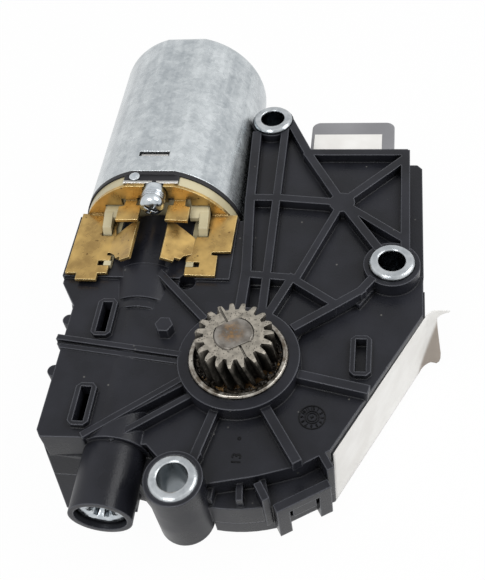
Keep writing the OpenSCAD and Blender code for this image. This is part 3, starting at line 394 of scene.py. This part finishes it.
# %% Pinion and shaft
pinion_steel = finish(
    "pinion_steel", paint(164, 158, 147), paint(128, 123, 114), (0.4, 0.55), metallic=0.8,
    relief=0.04, grain_scale=2600.0, broad=700.0, edge_wear_and_highlight_colour=paint(186, 181, 172),
    edge_wear_and_highlight_share=0.5, painted_shade_colour=paint(16, 14, 12), painted_shade_share=0.95, edge_radius=0.15,
    speck_colour=paint(44, 41, 38), speck_share=0.7, speck_scale=1900.0)


def greasy_below(material, coordinate, clean_at, greasy_at, share):
    """Lays dark grease over a finish, by height or by distance from the output axis."""
    tree = material.node_tree
    surface, plain = surface_of(material)
    here = place(tree, "ShaderNodeTexCoord").outputs["Object"]
    if coordinate == "height":
        place_of = place(tree, "ShaderNodeSeparateXYZ", {0: here}).outputs[2]
    else:
        flat = place(tree, "ShaderNodeVectorMath", {0: here, 1: (1.0, 1.0, 0.0)},
                     operation="MULTIPLY").outputs[0]
        place_of = place(tree, "ShaderNodeVectorMath", {0: flat},
                         operation="LENGTH").outputs["Value"]
    smears = place(tree, "ShaderNodeTexNoise",
                   {"Vector": here, "Scale": 1100.0, "Detail": 5.0}).outputs[0]
    film = sums(tree, "MULTIPLY", spread(tree, place_of, clean_at * MM, greasy_at * MM),
                spread(tree, smears, 0.25, 0.55, share - 0.3, share))
    tree.links.new(blend_colours(tree, film, plain, paint(24, 22, 20)),
                   surface.inputs["Base Color"])


greasy_below(pinion_steel, "height", 8.5, 5.6, 0.9)
greasy_below(ring_steel, "distance", 10.15, 9.8, 0.95)
coat(pinion_steel, "pinion")

shaft_steel = finish(
    "shaft_steel", paint(142, 138, 132), paint(98, 93, 87), (0.3, 0.45), metallic=0.9,
    relief=0.012, grain_scale=2200.0, broad=420.0, edge_wear_and_highlight_colour=paint(184, 180, 172),
    edge_wear_and_highlight_share=0.6, painted_shade_colour=paint(40, 34, 28), painted_shade_share=0.6, edge_radius=0.2)
tree = shaft_steel.node_tree
surface, plain = surface_of(shaft_steel)
here = place(tree, "ShaderNodeTexCoord").outputs["Object"]
from_middle = place(tree, "ShaderNodeVectorMath", {0: here, 1: (-0.0005, 0.0003, 0.0088)},
                    operation="DISTANCE").outputs["Value"]
cloudy = place(tree, "ShaderNodeTexNoise",
               {"Vector": here, "Scale": 620.0, "Detail": 6.0, "Roughness": 0.7}).outputs[0]
rust = sums(tree, "MULTIPLY", spread(tree, from_middle, 0.0036, 0.0008),
            spread(tree, cloudy, 0.36, 0.54))
rusty = blend_colours(tree, spread(tree, cloudy, 0.44, 0.62), paint(66, 54, 42),
                      paint(126, 96, 58))
tree.links.new(blend_colours(tree, rust, plain, rusty), surface.inputs["Base Color"])
tree.links.new(spread(tree, rust, 0.0, 1.0, 0.9, 0.1), surface.inputs["Metallic"])
coat(shaft_steel, "output_shaft", "armature_shaft", "worm", "retaining_ring",
     "brush_springs")

# %% [markdown]
# ## Brush gear
# Two brass stampings carry the current to the brushes. They are golden brown with
# darker stains, and their edges are bright, partly from shearing and partly as
# painted highlight. The carrier is natural nylon, cream and slightly translucent.

# %% Brass and nylon
brass = finish(
    "brass", paint(195, 163, 99), paint(148, 120, 71), (0.24, 0.4), metallic=0.72,
    relief=0.008, grain_scale=1500.0, broad=260.0, edge_wear_and_highlight_colour=paint(238, 216, 160),
    edge_wear_and_highlight_share=0.8, painted_shade_colour=paint(30, 22, 12), painted_shade_share=0.85, edge_radius=0.25,
    speck_colour=paint(92, 68, 34), speck_share=0.05, speck_scale=900.0)
coat(brass, "terminal_plate_left", "terminal_plate_right")

cream_nylon = finish(
    "cream_nylon", paint(198, 189, 156), paint(172, 161, 126), (0.3, 0.45), relief=0.01,
    edge_wear_and_highlight_colour=paint(226, 219, 192), edge_wear_and_highlight_share=0.5, painted_shade_colour=paint(78, 64, 38),
    painted_shade_share=0.6, edge_radius=0.3)
coat(cream_nylon, "brush_carrier")

wheel_plastic = finish(
    "wheel_plastic", paint(232, 230, 222), paint(216, 212, 200), (0.3, 0.42), relief=0.008,
    edge_wear_and_highlight_colour=paint(246, 245, 240), painted_shade_colour=paint(150, 130, 92))
coat(wheel_plastic, "worm_wheel", "thrust_pad")

# %% [markdown]
# ## Inside the motor
# Magnets, laminations, windings and brushes can be seen only when the part is
# taken apart, but each still has the finish of the real one.

# %% Inner finishes
sintered_bronze = finish(
    "sintered_bronze", paint(164, 128, 88), paint(126, 96, 64), (0.4, 0.55), metallic=0.85,
    relief=0.02, edge_wear_and_highlight_colour=paint(200, 168, 124), speck_colour=paint(60, 44, 30),
    speck_share=0.25, speck_scale=1500.0)
coat(sintered_bronze, "can_bearing", "front_bearing", "output_bush")

ferrite = finish("ferrite", paint(66, 64, 64), paint(50, 49, 50), (0.55, 0.7), relief=0.03,
                 edge_wear_and_highlight_colour=paint(104, 102, 102))
coat(ferrite, "field_magnets", "ring_magnet")

lamination = finish(
    "lamination", paint(120, 122, 126), paint(84, 86, 90), (0.35, 0.5), metallic=0.85,
    relief=0.02, edge_wear_and_highlight_colour=paint(170, 172, 176),
    pattern=(streaks, {"Stretch": (10.0, 4000.0, 10.0)}))
coat(lamination, "lamination_stack")

copper = finish(
    "copper", paint(206, 118, 70), paint(156, 78, 42), (0.22, 0.38), metallic=1.0,
    relief=0.05, edge_wear_and_highlight_colour=paint(240, 170, 120),
    pattern=(streaks, {"Stretch": (2600.0, 30.0, 2600.0)}))
coat(copper, "windings", "commutator")

carbon = finish("carbon", paint(52, 50, 50), paint(38, 37, 38), (0.5, 0.65), relief=0.02,
                edge_wear_and_highlight_colour=paint(90, 88, 88))
coat(carbon, "brush_left", "brush_right")

board_green = finish(
    "board_green", paint(32, 92, 56), paint(20, 70, 42), (0.3, 0.42), relief=0.008,
    edge_wear_and_highlight_colour=paint(176, 170, 120))
coat(board_green, "circuit_board")

# %% [markdown]
# ## Connector
# The header is moulded in a plain grey, satin and even, and its ten pins are
# tinned. The label on it stays bare.

# %% Connector finishes
grey_plastic = finish(
    "grey_plastic", paint(140, 140, 143), paint(126, 126, 129), (0.42, 0.55), relief=0.012,
    grain_scale=2600.0, edge_wear_and_highlight_colour=paint(172, 172, 175), edge_wear_and_highlight_share=0.5,
    painted_shade_colour=paint(60, 60, 62), painted_shade_share=0.4, edge_radius=0.6, shine=0.3)
coat(grey_plastic, "connector_header")

pin_metal = finish(
    "pin_metal", paint(224, 222, 214), paint(196, 192, 182), (0.18, 0.3), metallic=1.0,
    relief=0.003, edge_wear_and_highlight_colour=paint(250, 248, 242))
coat(pin_metal, "connector_pins")

label_paper = finish(
    "label_paper", paint(240, 239, 236), paint(228, 226, 222), (0.5, 0.62), relief=0.008,
    grain_scale=1400.0, broad=120.0, edge_wear_and_highlight_colour=paint(205, 202, 196), edge_wear_and_highlight_share=0.3,
    edge_radius=0.1)
tree = label_paper.node_tree
surface, plain = surface_of(label_paper)
# The paper turns tan where the mesh marks it as lying past the crease.
tan_past_crease = place(tree, "ShaderNodeAttribute", attribute_name="tan_past_crease").outputs["Fac"]
tree.links.new(blend_colours(tree, tan_past_crease, plain, paint(156, 146, 136)),
               surface.inputs["Base Color"])
coat(label_paper, "box_label", "side_label")

# %% [markdown]
# ## Paper label
# The long label on the side wall was never pressed down at its end: past the
# corner of the wall it leaves the plastic, curls outward, and its torn tip stands
# up. The paper is a grid of points that runs along the wall, round the curl and
# on to the torn edge, and a Solidify modifier gives it its thickness.

# %% Paper label
WALL_START, WALL_END = Vector((21.5, -19.5)), Vector((40.8, 16.8))
LABEL_TOP, LABEL_FOOT, TORN_FOOT = -6.1, -28.3, -26.0
CURL_RADIUS = 3.0
wall_way = (WALL_END - WALL_START).normalized()
wall_out = Vector((wall_way.y, -wall_way.x))
wall_turn = math.atan2(wall_way.y, wall_way.x)
torn_edge = [(-6.1, 46.5), (-6.6, 46.3), (-7.2, 45.0), (-8.2, 44.0), (-9.0, 43.7),
             (-12.0, 44.0), (-16.0, 44.55), (-20.0, 45.1), (-22.0, 45.4), (-24.0, 45.45),
             (-25.2, 45.25), (-26.0, 44.6)]


def torn_at(z):
    """How far along X the paper reaches at this height."""
    for (z_high, x_high), (z_low, x_low) in zip(torn_edge, torn_edge[1:]):
        if z >= z_low:
            share = (z_high - z) / (z_high - z_low)
            return x_high + (x_low - x_high) * share
    return torn_edge[-1][1]


def paper_row(depth, flat_steps=44, curl_steps=10, end_steps=10):
    """The points of one row, 0 at the top edge of the paper and 1 at its foot."""
    wall_z = LABEL_TOP + (LABEL_FOOT - LABEL_TOP) * depth
    torn_z = LABEL_TOP + (TORN_FOOT - LABEL_TOP) * depth
    leaves_at = 41.7 - 1.2 * depth
    points = []
    for step in range(flat_steps):
        run = 0.2 + (leaves_at - 0.2) * step / flat_steps
        ripple = 0.03 * math.sin(run * 0.9) * math.sin(depth * math.pi)
        points.append((*(WALL_START + wall_way * run + wall_out * (0.09 + ripple)), wall_z))
    centre = WALL_START + wall_way * leaves_at + wall_out * CURL_RADIUS
    reach = CURL_RADIUS - 0.09
    for step in range(curl_steps):
        angle = wall_turn * step / curl_steps
        arm = wall_way * math.sin(angle) - wall_out * math.cos(angle)
        sagged = wall_z + (torn_z - wall_z) * step / curl_steps
        points.append((*(centre + arm * reach), sagged))
    last = centre + Vector((0, reach))
    for step in range(end_steps + 1):
        x = last.x + (torn_at(torn_z) - last.x) * step / end_steps
        points.append((x, last.y - 0.25 * (step / end_steps) ** 2 * depth, torn_z))
    return [Vector(p) * MM for p in points]


depths = [0.0, 0.012, 0.025, 0.045, 0.065, 0.09, 0.12, 0.15]
depths += [0.15 + 0.034 * step for step in range(1, 23)] + [0.93, 0.96, 0.985, 1.0]
rows = [paper_row(depth) for depth in depths]
columns = len(rows[0])
corners = [p for row in rows for p in row]
faces = []
for r in range(len(rows) - 1):
    for c in range(columns - 1):
        a = r * columns + c
        faces.append((a, a + columns, a + columns + 1, a + 1))
paper_mesh = bpy.data.meshes.new("wall_label")
paper_mesh.from_pydata(corners, [], faces)
# Marks the paper past a slanted crease near the torn end, below its top edge, to be tan.
mask = paper_mesh.attributes.new("tan_past_crease", "FLOAT", "POINT")
for index, point in enumerate(corners):
    x, z = point.x / MM, point.z / MM
    crease = 43.7 + (z + 9.0) * 0.2
    side = min(max((x - crease) / 0.7, 0.0), 1.0)
    below = min(max((-8.3 - z) / 0.9, 0.0), 1.0)
    mask.data[index].value = side * below
paper_mesh.materials.append(label_paper)
paper_mesh.shade_smooth()
wall_label = bpy.data.objects.new("wall_label", paper_mesh)
bpy.context.scene.collection.objects.link(wall_label)
solidify = wall_label.modifiers.new("paper_thickness", "SOLIDIFY")
solidify.thickness = 0.12 * MM
solidify.offset = 0
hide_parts("side_label")
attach(wall_label, "housing")
print("paper label:", len(faces), "faces")

# %% [markdown]
# ## Screw, socket plug and slot tab
# The screw that holds the brush carrier has a domed head with a cross recess and
# three fine grooves behind it, and the plug of the worm tube has a six-lobed
# socket. Both are profiles turned about their axis, and Boolean modifiers cut the
# recesses. In the slot of the can lies the tab that was bent inwards when the slot
# was punched.


# %% Screw, socket plug and slot tab
def turned_piece(name, profile, axis_x, axis_z, steps=72):
    """Turns a profile of (radius, y) points about an axis along Y."""
    shape = bmesh.new()
    loops = []
    for radius, y in profile:
        if radius == 0:
            loops.append([shape.verts.new((axis_x * MM, y * MM, axis_z * MM))])
            continue
        loop = []
        for step in range(steps):
            turn = math.tau * step / steps
            loop.append(shape.verts.new(((axis_x + radius * math.cos(turn)) * MM, y * MM,
                                         (axis_z + radius * math.sin(turn)) * MM)))
        loops.append(loop)
    for near, far in zip(loops, loops[1:]):
        for step in range(steps):
            ring = [near[step % len(near)], near[(step + 1) % len(near)],
                    far[(step + 1) % len(far)], far[step % len(far)]]
            shape.faces.new(list(dict.fromkeys(ring)))
    bmesh.ops.recalc_face_normals(shape, faces=shape.faces)
    mesh = bpy.data.meshes.new(name)
    shape.to_mesh(mesh)
    shape.free()
    mesh.shade_smooth()
    piece = bpy.data.objects.new(name, mesh)
    bpy.context.scene.collection.objects.link(piece)
    return piece


def box_piece(name, low, high, turn=0.0, about=(0, 0, 0), bevel=0.0):
    """A box between two corners in millimetres, turned about an axis along Y."""
    shape = bmesh.new()
    bmesh.ops.create_cube(shape, size=1.0)
    size = Vector(high) - Vector(low)
    bmesh.ops.scale(shape, vec=size * MM, verts=shape.verts)
    if bevel:
        bmesh.ops.bevel(shape, geom=shape.edges[:], offset=bevel * MM, segments=3, affect="EDGES")
    spot = (Vector(low) + size / 2 - Vector(about)) * MM
    bmesh.ops.translate(shape, vec=spot, verts=shape.verts)
    bmesh.ops.rotate(shape, matrix=Matrix.Rotation(turn, 3, "Y"), verts=shape.verts)
    bmesh.ops.translate(shape, vec=Vector(about) * MM, verts=shape.verts)
    mesh = bpy.data.meshes.new(name)
    shape.to_mesh(mesh)
    shape.free()
    piece = bpy.data.objects.new(name, mesh)
    bpy.context.scene.collection.objects.link(piece)
    return piece


def cut_lobes(piece, centre, half_length, half_width, depth, turns):
    """Cuts crossing grooves into the front face of a turned piece."""
    x, y, z = centre
    for turn in turns:
        cutter = box_piece("lobe", (x - half_length, y - 0.5, z - half_width),
                           (x + half_length, y + depth, z + half_width), turn, (x, 0, z))
        cut = piece.modifiers.new("lobe", "BOOLEAN")
        cut.operation, cut.solver, cut.object = "DIFFERENCE", "EXACT", cutter
        graph = bpy.context.evaluated_depsgraph_get()
        mesh = bpy.data.meshes.new_from_object(piece.evaluated_get(graph))
        piece.modifiers.clear()
        piece.data = mesh
        bpy.data.objects.remove(cutter)
    piece.data.materials.clear()
    piece.data.materials.append(zinc_steel)


SCREW_X, SCREW_Z = -24.7, 9.2
screw_profile = [(0, 35.42), (0.9, 35.46), (1.7, 35.62), (2.35, 35.9), (2.75, 36.3),
                 (2.95, 36.8), (3.0, 37.3), (3.0, 37.9)]
for groove in (37.95, 38.55, 39.15):
    screw_profile += [(2.97, groove), (2.82, groove + 0.08), (2.82, groove + 0.16),
                      (2.97, groove + 0.24), (3.0, groove + 0.32), (3.0, groove + 0.54)]
screw_profile += [(3.0, 41.6), (2.85, 41.94), (1.75, 41.97), (1.75, 45.2), (0, 45.2)]
ribbed_screw = turned_piece("ribbed_screw", screw_profile, SCREW_X, SCREW_Z)
cut_lobes(ribbed_screw, (SCREW_X, 35.5, SCREW_Z), 1.6, 0.3, 0.7, (0.6, 0.6 + math.pi / 2))
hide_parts("carrier_screw")
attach(ribbed_screw, "housing")

plug_low, plug_high = (Vector(corner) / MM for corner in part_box("tube_plug"))
plug_x, plug_z = (plug_low.x + plug_high.x) / 2, (plug_low.z + plug_high.z) / 2
PLUG_FORWARD = 0.9
reach, face = (plug_high.x - plug_low.x) / 2, plug_low.y - PLUG_FORWARD
plug_profile = [(0, face + 2.1), (1.9, face + 2.1), (2.15, face + 0.35), (2.45, face + 0.05),
                (reach - 0.8, face), (reach - 0.25, face + 0.2), (reach, face + 0.75),
                (reach, plug_high.y), (0, plug_high.y)]
socket_plug = turned_piece("socket_plug", plug_profile, plug_x, plug_z)
cut_lobes(socket_plug, (plug_x, face, plug_z), 2.45, 0.5, 1.9, (0.3, 1.35, 2.4))
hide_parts("tube_plug")
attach(socket_plug, "housing")

SLOT_TAB_LOW, SLOT_TAB_HIGH = (-29.8, 51.65, 10.4), (-22.7, 52.55, 11.4)
slot_tab = box_piece("slot_tab", SLOT_TAB_LOW, SLOT_TAB_HIGH, bevel=0.12)
slot_tab.data.materials.append(tin_strip)
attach(slot_tab, "housing")
print("screw:", len(ribbed_screw.data.polygons), "faces; plug:",
      len(socket_plug.data.polygons), "faces")

# %% [markdown]
# ## Grease in the well
# Old grease, brown with wear dust, fills the well round the foot of the pinion.
# It is a crumbly heap, so Geometry Nodes drops small lumps at random places
# between two radii, and a low ring of paste under them closes the gaps.


# %% Grease
def new_geometry_tree(name, inputs):
    tree = bpy.data.node_groups.new(name, "GeometryNodeTree")
    tree.interface.new_socket("Geometry", in_out="OUTPUT", socket_type="NodeSocketGeometry")
    kinds = {int: "NodeSocketInt", float: "NodeSocketFloat"}
    for title, value in inputs.items():
        socket = tree.interface.new_socket(title, in_out="INPUT", socket_type=kinds[type(value)])
        socket.default_value = value
    return tree, tree.nodes.new("NodeGroupInput"), tree.nodes.new("NodeGroupOutput")


def build_with(tree, name, values):
    """Runs a Geometry Nodes tree once and keeps the result as a plain mesh."""
    carrier = bpy.data.objects.new(name + "_source", bpy.data.meshes.new(name + "_source"))
    bpy.context.scene.collection.objects.link(carrier)
    modifier = carrier.modifiers.new(name, "NODES")
    modifier.node_group = tree
    for item in tree.interface.items_tree:
        if item.in_out == "INPUT" and item.name in values:
            modifier[item.identifier] = values[item.name]
    graph = bpy.context.evaluated_depsgraph_get()
    mesh = bpy.data.meshes.new_from_object(carrier.evaluated_get(graph))
    bpy.data.objects.remove(carrier)
    mesh.name = name
    piece = bpy.data.objects.new(name, mesh)
    bpy.context.scene.collection.objects.link(piece)
    print(name, "has", len(mesh.polygons), "faces")
    return piece


grease_brown = finish(
    "grease_brown", paint(88, 78, 66), paint(26, 24, 22), (0.22, 0.45), relief=0.08,
    grain_scale=1800.0, broad=1500.0, painted_shade_colour=paint(10, 8, 7), painted_shade_share=0.7,
    speck_colour=paint(150, 140, 124), speck_share=0.2, speck_scale=1900.0)
tree = grease_brown.node_tree
surface, plain = surface_of(grease_brown)
here = place(tree, "ShaderNodeTexCoord").outputs["Object"]
patches = place(tree, "ShaderNodeTexNoise",
                {"Vector": here, "Scale": 330.0, "Detail": 3.0}).outputs[0]
tree.links.new(blend_colours(tree, spread(tree, patches, 0.57, 0.66), plain,
                             paint(140, 108, 64)), surface.inputs["Base Color"])

lumps, start, end = new_geometry_tree("grease_lumps", {
    "Count": 900, "Inner Radius": 0.0073, "Outer Radius": 0.0094, "Floor": -0.0023,
    "Rise": 0.0009, "Lump": 0.0004, "Seed": 4})


def random_value(tree, low, high, seed_offset):
    seed = place(tree, "ShaderNodeMath", {0: start.outputs["Seed"], 1: seed_offset},
                 operation="ADD").outputs[0]
    node = place(tree, "FunctionNodeRandomValue", {"Seed": seed}, data_type="FLOAT")
    for key, value in ((2, low), (3, high)):
        if isinstance(value, bpy.types.NodeSocket):
            tree.links.new(value, node.inputs[key])
        else:
            node.inputs[key].default_value = value
    return node.outputs[1]


angle = random_value(lumps, 0.0, math.tau, 0)
radius = random_value(lumps, start.outputs["Inner Radius"], start.outputs["Outer Radius"], 1)
rise = random_value(lumps, 0.0, start.outputs["Rise"], 2)
spot = place(lumps, "ShaderNodeCombineXYZ", {
    0: sums(lumps, "MULTIPLY", radius, sums(lumps, "COSINE", angle)),
    1: sums(lumps, "MULTIPLY", radius, sums(lumps, "SINE", angle)),
    2: sums(lumps, "ADD", start.outputs["Floor"], rise)}).outputs[0]
points = place(lumps, "GeometryNodePoints", {"Count": start.outputs["Count"], "Position": spot})
ball = place(lumps, "GeometryNodeMeshIcoSphere", {
    "Radius": start.outputs["Lump"], "Subdivisions": 2})
scale = place(lumps, "ShaderNodeCombineXYZ", {
    0: random_value(lumps, 0.35, 1.1, 3), 1: random_value(lumps, 0.35, 1.1, 4),
    2: random_value(lumps, 0.3, 0.9, 5)}).outputs[0]
spin = place(lumps, "ShaderNodeCombineXYZ", {
    0: random_value(lumps, 0.0, math.tau, 6), 2: random_value(lumps, 0.0, math.tau, 7)}).outputs[0]
copies = place(lumps, "GeometryNodeInstanceOnPoints", {
    "Points": points.outputs[0], "Instance": ball.outputs[0], "Rotation": spin, "Scale": scale})
solid = place(lumps, "GeometryNodeRealizeInstances", {0: copies.outputs[0]})
smooth = place(lumps, "GeometryNodeSetShadeSmooth", {0: solid.outputs[0]})
painted = place(lumps, "GeometryNodeSetMaterial",
                {0: smooth.outputs[0], "Material": grease_brown})
lumps.links.new(painted.outputs[0], end.inputs[0])
well_grease = build_with(lumps, "well_grease", {"Count": 900, "Seed": 4})
rim_grease = build_with(lumps, "rim_grease", {
    "Count": 420, "Inner Radius": 0.009, "Outer Radius": 0.0094, "Floor": -0.0012,
    "Rise": 0.0009, "Lump": 0.0003, "Seed": 9})
for piece in (well_grease, rim_grease):
    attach(piece, "housing")

# %% Grease paste
random.seed(11)
PASTE_STEPS = 180
paste = bmesh.new()
profile = [(7.2, -2.95), (7.3, -2.0), (7.9, -1.55), (8.7, -1.5), (9.3, -1.1), (9.62, -0.6),
           (9.62, -2.95)]
rings = []
for step in range(PASTE_STEPS):
    turn = math.tau * step / PASTE_STEPS
    swell = 0.25 * math.sin(3 * turn + 0.7) + 0.15 * math.sin(7 * turn)
    ring = []
    for index, (r, z) in enumerate(profile):
        lift = 0 if index in (0, 6) else swell + random.uniform(-0.12, 0.12)
        ring.append(paste.verts.new((r * math.cos(turn) * MM, r * math.sin(turn) * MM,
                                     (z + lift) * MM)))
    rings.append(ring)
for step in range(PASTE_STEPS):
    a, b = rings[step], rings[(step + 1) % PASTE_STEPS]
    for index in range(len(profile)):
        following = (index + 1) % len(profile)
        paste.faces.new((a[index], a[following], b[following], b[index]))
bmesh.ops.recalc_face_normals(paste, faces=paste.faces)
paste_mesh = bpy.data.meshes.new("grease_paste")
paste.to_mesh(paste_mesh)
paste.free()
paste_mesh.materials.append(grease_brown)
paste_mesh.shade_smooth()
grease_paste = bpy.data.objects.new("grease_paste", paste_mesh)
bpy.context.scene.collection.objects.link(grease_paste)
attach(grease_paste, "housing")
print("grease paste:", len(paste_mesh.polygons), "faces")

# %% [markdown]
# ## Mould marks
# A moulded part tells how it was made: a date dial with rings, the numbers of the
# months and a number in its middle, and the number of its cavity. Both are raised
# a fifth of a millimetre. Text objects give the plain numbers, and they are made
# into mesh before they are put in place.


# %% Mould marks
def raised_text(words, size, spot, turn, height=0.22, stroke=0.02):
    """Plain numbers, raised from the plastic, as a mesh in place."""
    curve = bpy.data.curves.new("numbers", "FONT")
    curve.body = words
    curve.size = size * MM
    curve.extrude = height / 2 * MM
    curve.offset = stroke * MM
    curve.align_x, curve.align_y = "CENTER", "CENTER"
    curve.resolution_u = 3
    holder = bpy.data.objects.new("numbers", curve)
    bpy.context.scene.collection.objects.link(holder)
    graph = bpy.context.evaluated_depsgraph_get()
    mesh = bpy.data.meshes.new_from_object(holder.evaluated_get(graph))
    bpy.data.objects.remove(holder)
    place_matrix = Matrix.Translation(Vector(spot) * MM) @ Matrix.Rotation(turn, 4, "Z")
    mesh.transform(place_matrix)
    return mesh


def flat_ring(shape, centre, inner, outer, low, high, steps=48):
    """A low square-edged ring, added to a bmesh."""
    loops = []
    for step in range(steps):
        turn = math.tau * step / steps
        way = Vector((math.cos(turn), math.sin(turn), 0))
        loops.append([shape.verts.new((Vector(centre) + way * r) * MM + Vector((0, 0, z * MM)))
                      for r, z in ((inner, low), (outer, low), (outer, high), (inner, high))])
    for step in range(steps):
        a, b = loops[step], loops[(step + 1) % steps]
        for index in range(4):
            following = (index + 1) % 4
            shape.faces.new((a[index], b[index], b[following], a[following]))


# Painted shade: the raised marks are the same plastic as the housing, but this copy of its black
# is darker and has no lighter edges.
shaded_mark_black = finish(
    "shaded_mark_black", paint(22, 22, 24), paint(15, 15, 17), (0.35, 0.5), relief=0.01,
    painted_shade_colour=paint(3, 3, 3), painted_shade_share=0.9, shine=0.15)
PIT_CENTRE = (2.0, -18.0, 0.0)
DIAL_CENTRE = (16.9, -12.1, 0.0)
DIAL_FLOOR = -4.0
dial = bmesh.new()
for inner, outer in ((2.72, 2.88), (1.42, 1.55), (0.95, 1.05)):
    flat_ring(dial, DIAL_CENTRE, inner, outer, DIAL_FLOOR - 0.02, DIAL_FLOOR + 0.22)
flat_ring(dial, PIT_CENTRE, 0.16, 0.42, DIAL_FLOOR - 0.02, DIAL_FLOOR + 0.08)
for month in range(1, 13):
    turn = math.tau * (3 - month) / 12
    spot = (DIAL_CENTRE[0] + 2.12 * math.cos(turn), DIAL_CENTRE[1] + 2.12 * math.sin(turn),
            DIAL_FLOOR + 0.03)
    dial.from_mesh(raised_text(str(month), 0.95, spot, turn - math.pi / 2))
dial.from_mesh(raised_text("24", 0.8, (DIAL_CENTRE[0], DIAL_CENTRE[1], DIAL_FLOOR + 0.03), 0.6))
bmesh.ops.recalc_face_normals(dial, faces=dial.faces)
dial_mesh = bpy.data.meshes.new("date_dial")
dial.to_mesh(dial_mesh)
dial.free()
dial_mesh.materials.clear()
dial_mesh.materials.append(shaded_mark_black)
date_dial = bpy.data.objects.new("date_dial", dial_mesh)
bpy.context.scene.collection.objects.link(date_dial)
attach(date_dial, "housing")

cavity_mesh = raised_text("13", 2.8, (2.0, -22.75, DIAL_FLOOR + 0.03), math.pi / 2)
cavity_mesh.materials.clear()
cavity_mesh.materials.append(shaded_mark_black)
cavity_number = bpy.data.objects.new("cavity_number", cavity_mesh)
bpy.context.scene.collection.objects.link(cavity_number)
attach(cavity_number, "housing")
print("date dial:", len(dial_mesh.polygons), "faces")

# %% [markdown]
# ## Floor, sky and lamps
# The photograph has a pure white background and a soft light from above and
# behind, which leaves the pocket walls that face the camera dark. The floor and
# the sky look white to the camera and in reflections, and the floor still takes a
# soft shadow.

# %% Floor
FLOOR_GAP, FLOOR_HALF = 0.0002, 1.5
floor_z = cad_box[0].z - FLOOR_GAP
floor_mesh = bpy.data.meshes.new("floor")
half = FLOOR_HALF
floor_mesh.from_pydata([(-half, -half, floor_z), (half, -half, floor_z), (half, half, floor_z),
                        (-half, half, floor_z)], [], [(0, 1, 2, 3)])
floor = bpy.data.objects.new("floor", floor_mesh)
bpy.context.scene.collection.objects.link(floor)
white_floor = bpy.data.materials.new("white_floor")
white_floor.use_nodes = True
tree = white_floor.node_tree
tree.nodes.clear()


def seen_directly(tree):
    """1 for camera, glossy and transmitted rays, 0 for light that bounces."""
    path = place(tree, "ShaderNodeLightPath")
    seen = sums(tree, "MAXIMUM", path.outputs["Is Camera Ray"], path.outputs["Is Glossy Ray"])
    return sums(tree, "MAXIMUM", seen, path.outputs["Is Transmission Ray"])


paper = place(tree, "ShaderNodeBsdfDiffuse", {0: (0.8, 0.8, 0.8, 1)})
glow = place(tree, "ShaderNodeEmission", {0: (1, 1, 1, 1), 1: 1.0})
share = sums(tree, "MULTIPLY", seen_directly(tree), 0.97)
both = place(tree, "ShaderNodeMixShader", {0: share, 1: paper.outputs[0], 2: glow.outputs[0]})
place(tree, "ShaderNodeOutputMaterial", {0: both.outputs[0]})
floor_mesh.materials.append(white_floor)

# %% Sky and lamps
sky = bpy.data.worlds.new("studio")
bpy.context.scene.world = sky
sky.use_nodes = True
tree = sky.node_tree
tree.nodes.clear()
dim = place(tree, "ShaderNodeBackground", {0: (1, 1, 1, 1), 1: 0.55})
white = place(tree, "ShaderNodeBackground", {0: (1, 1, 1, 1), 1: 1.0})
both = place(tree, "ShaderNodeMixShader",
             {0: seen_directly(tree), 1: dim.outputs[0], 2: white.outputs[0]})
place(tree, "ShaderNodeOutputWorld", {0: both.outputs[0]})


def softbox(name, spot, aim, size, power):
    data = bpy.data.lights.new(name, "AREA")
    data.shape = "SQUARE"
    data.size = size
    data.energy = power
    lamp = bpy.data.objects.new(name, data)
    bpy.context.scene.collection.objects.link(lamp)
    lamp.matrix_world = Matrix.Translation(spot) @ (
        Vector(aim) - Vector(spot)).to_track_quat("-Z", "Y").to_matrix().to_4x4()
    return lamp


middle = (cad_box[0] + cad_box[1]) / 2
softbox("side_softbox", (0.42, 0.1, 0.42), middle, 0.35, 1.7)
softbox("front_fill", (-0.12, -0.27, 0.46), middle, 0.22, 1.1)
bpy.context.scene.view_settings.view_transform = "Standard"
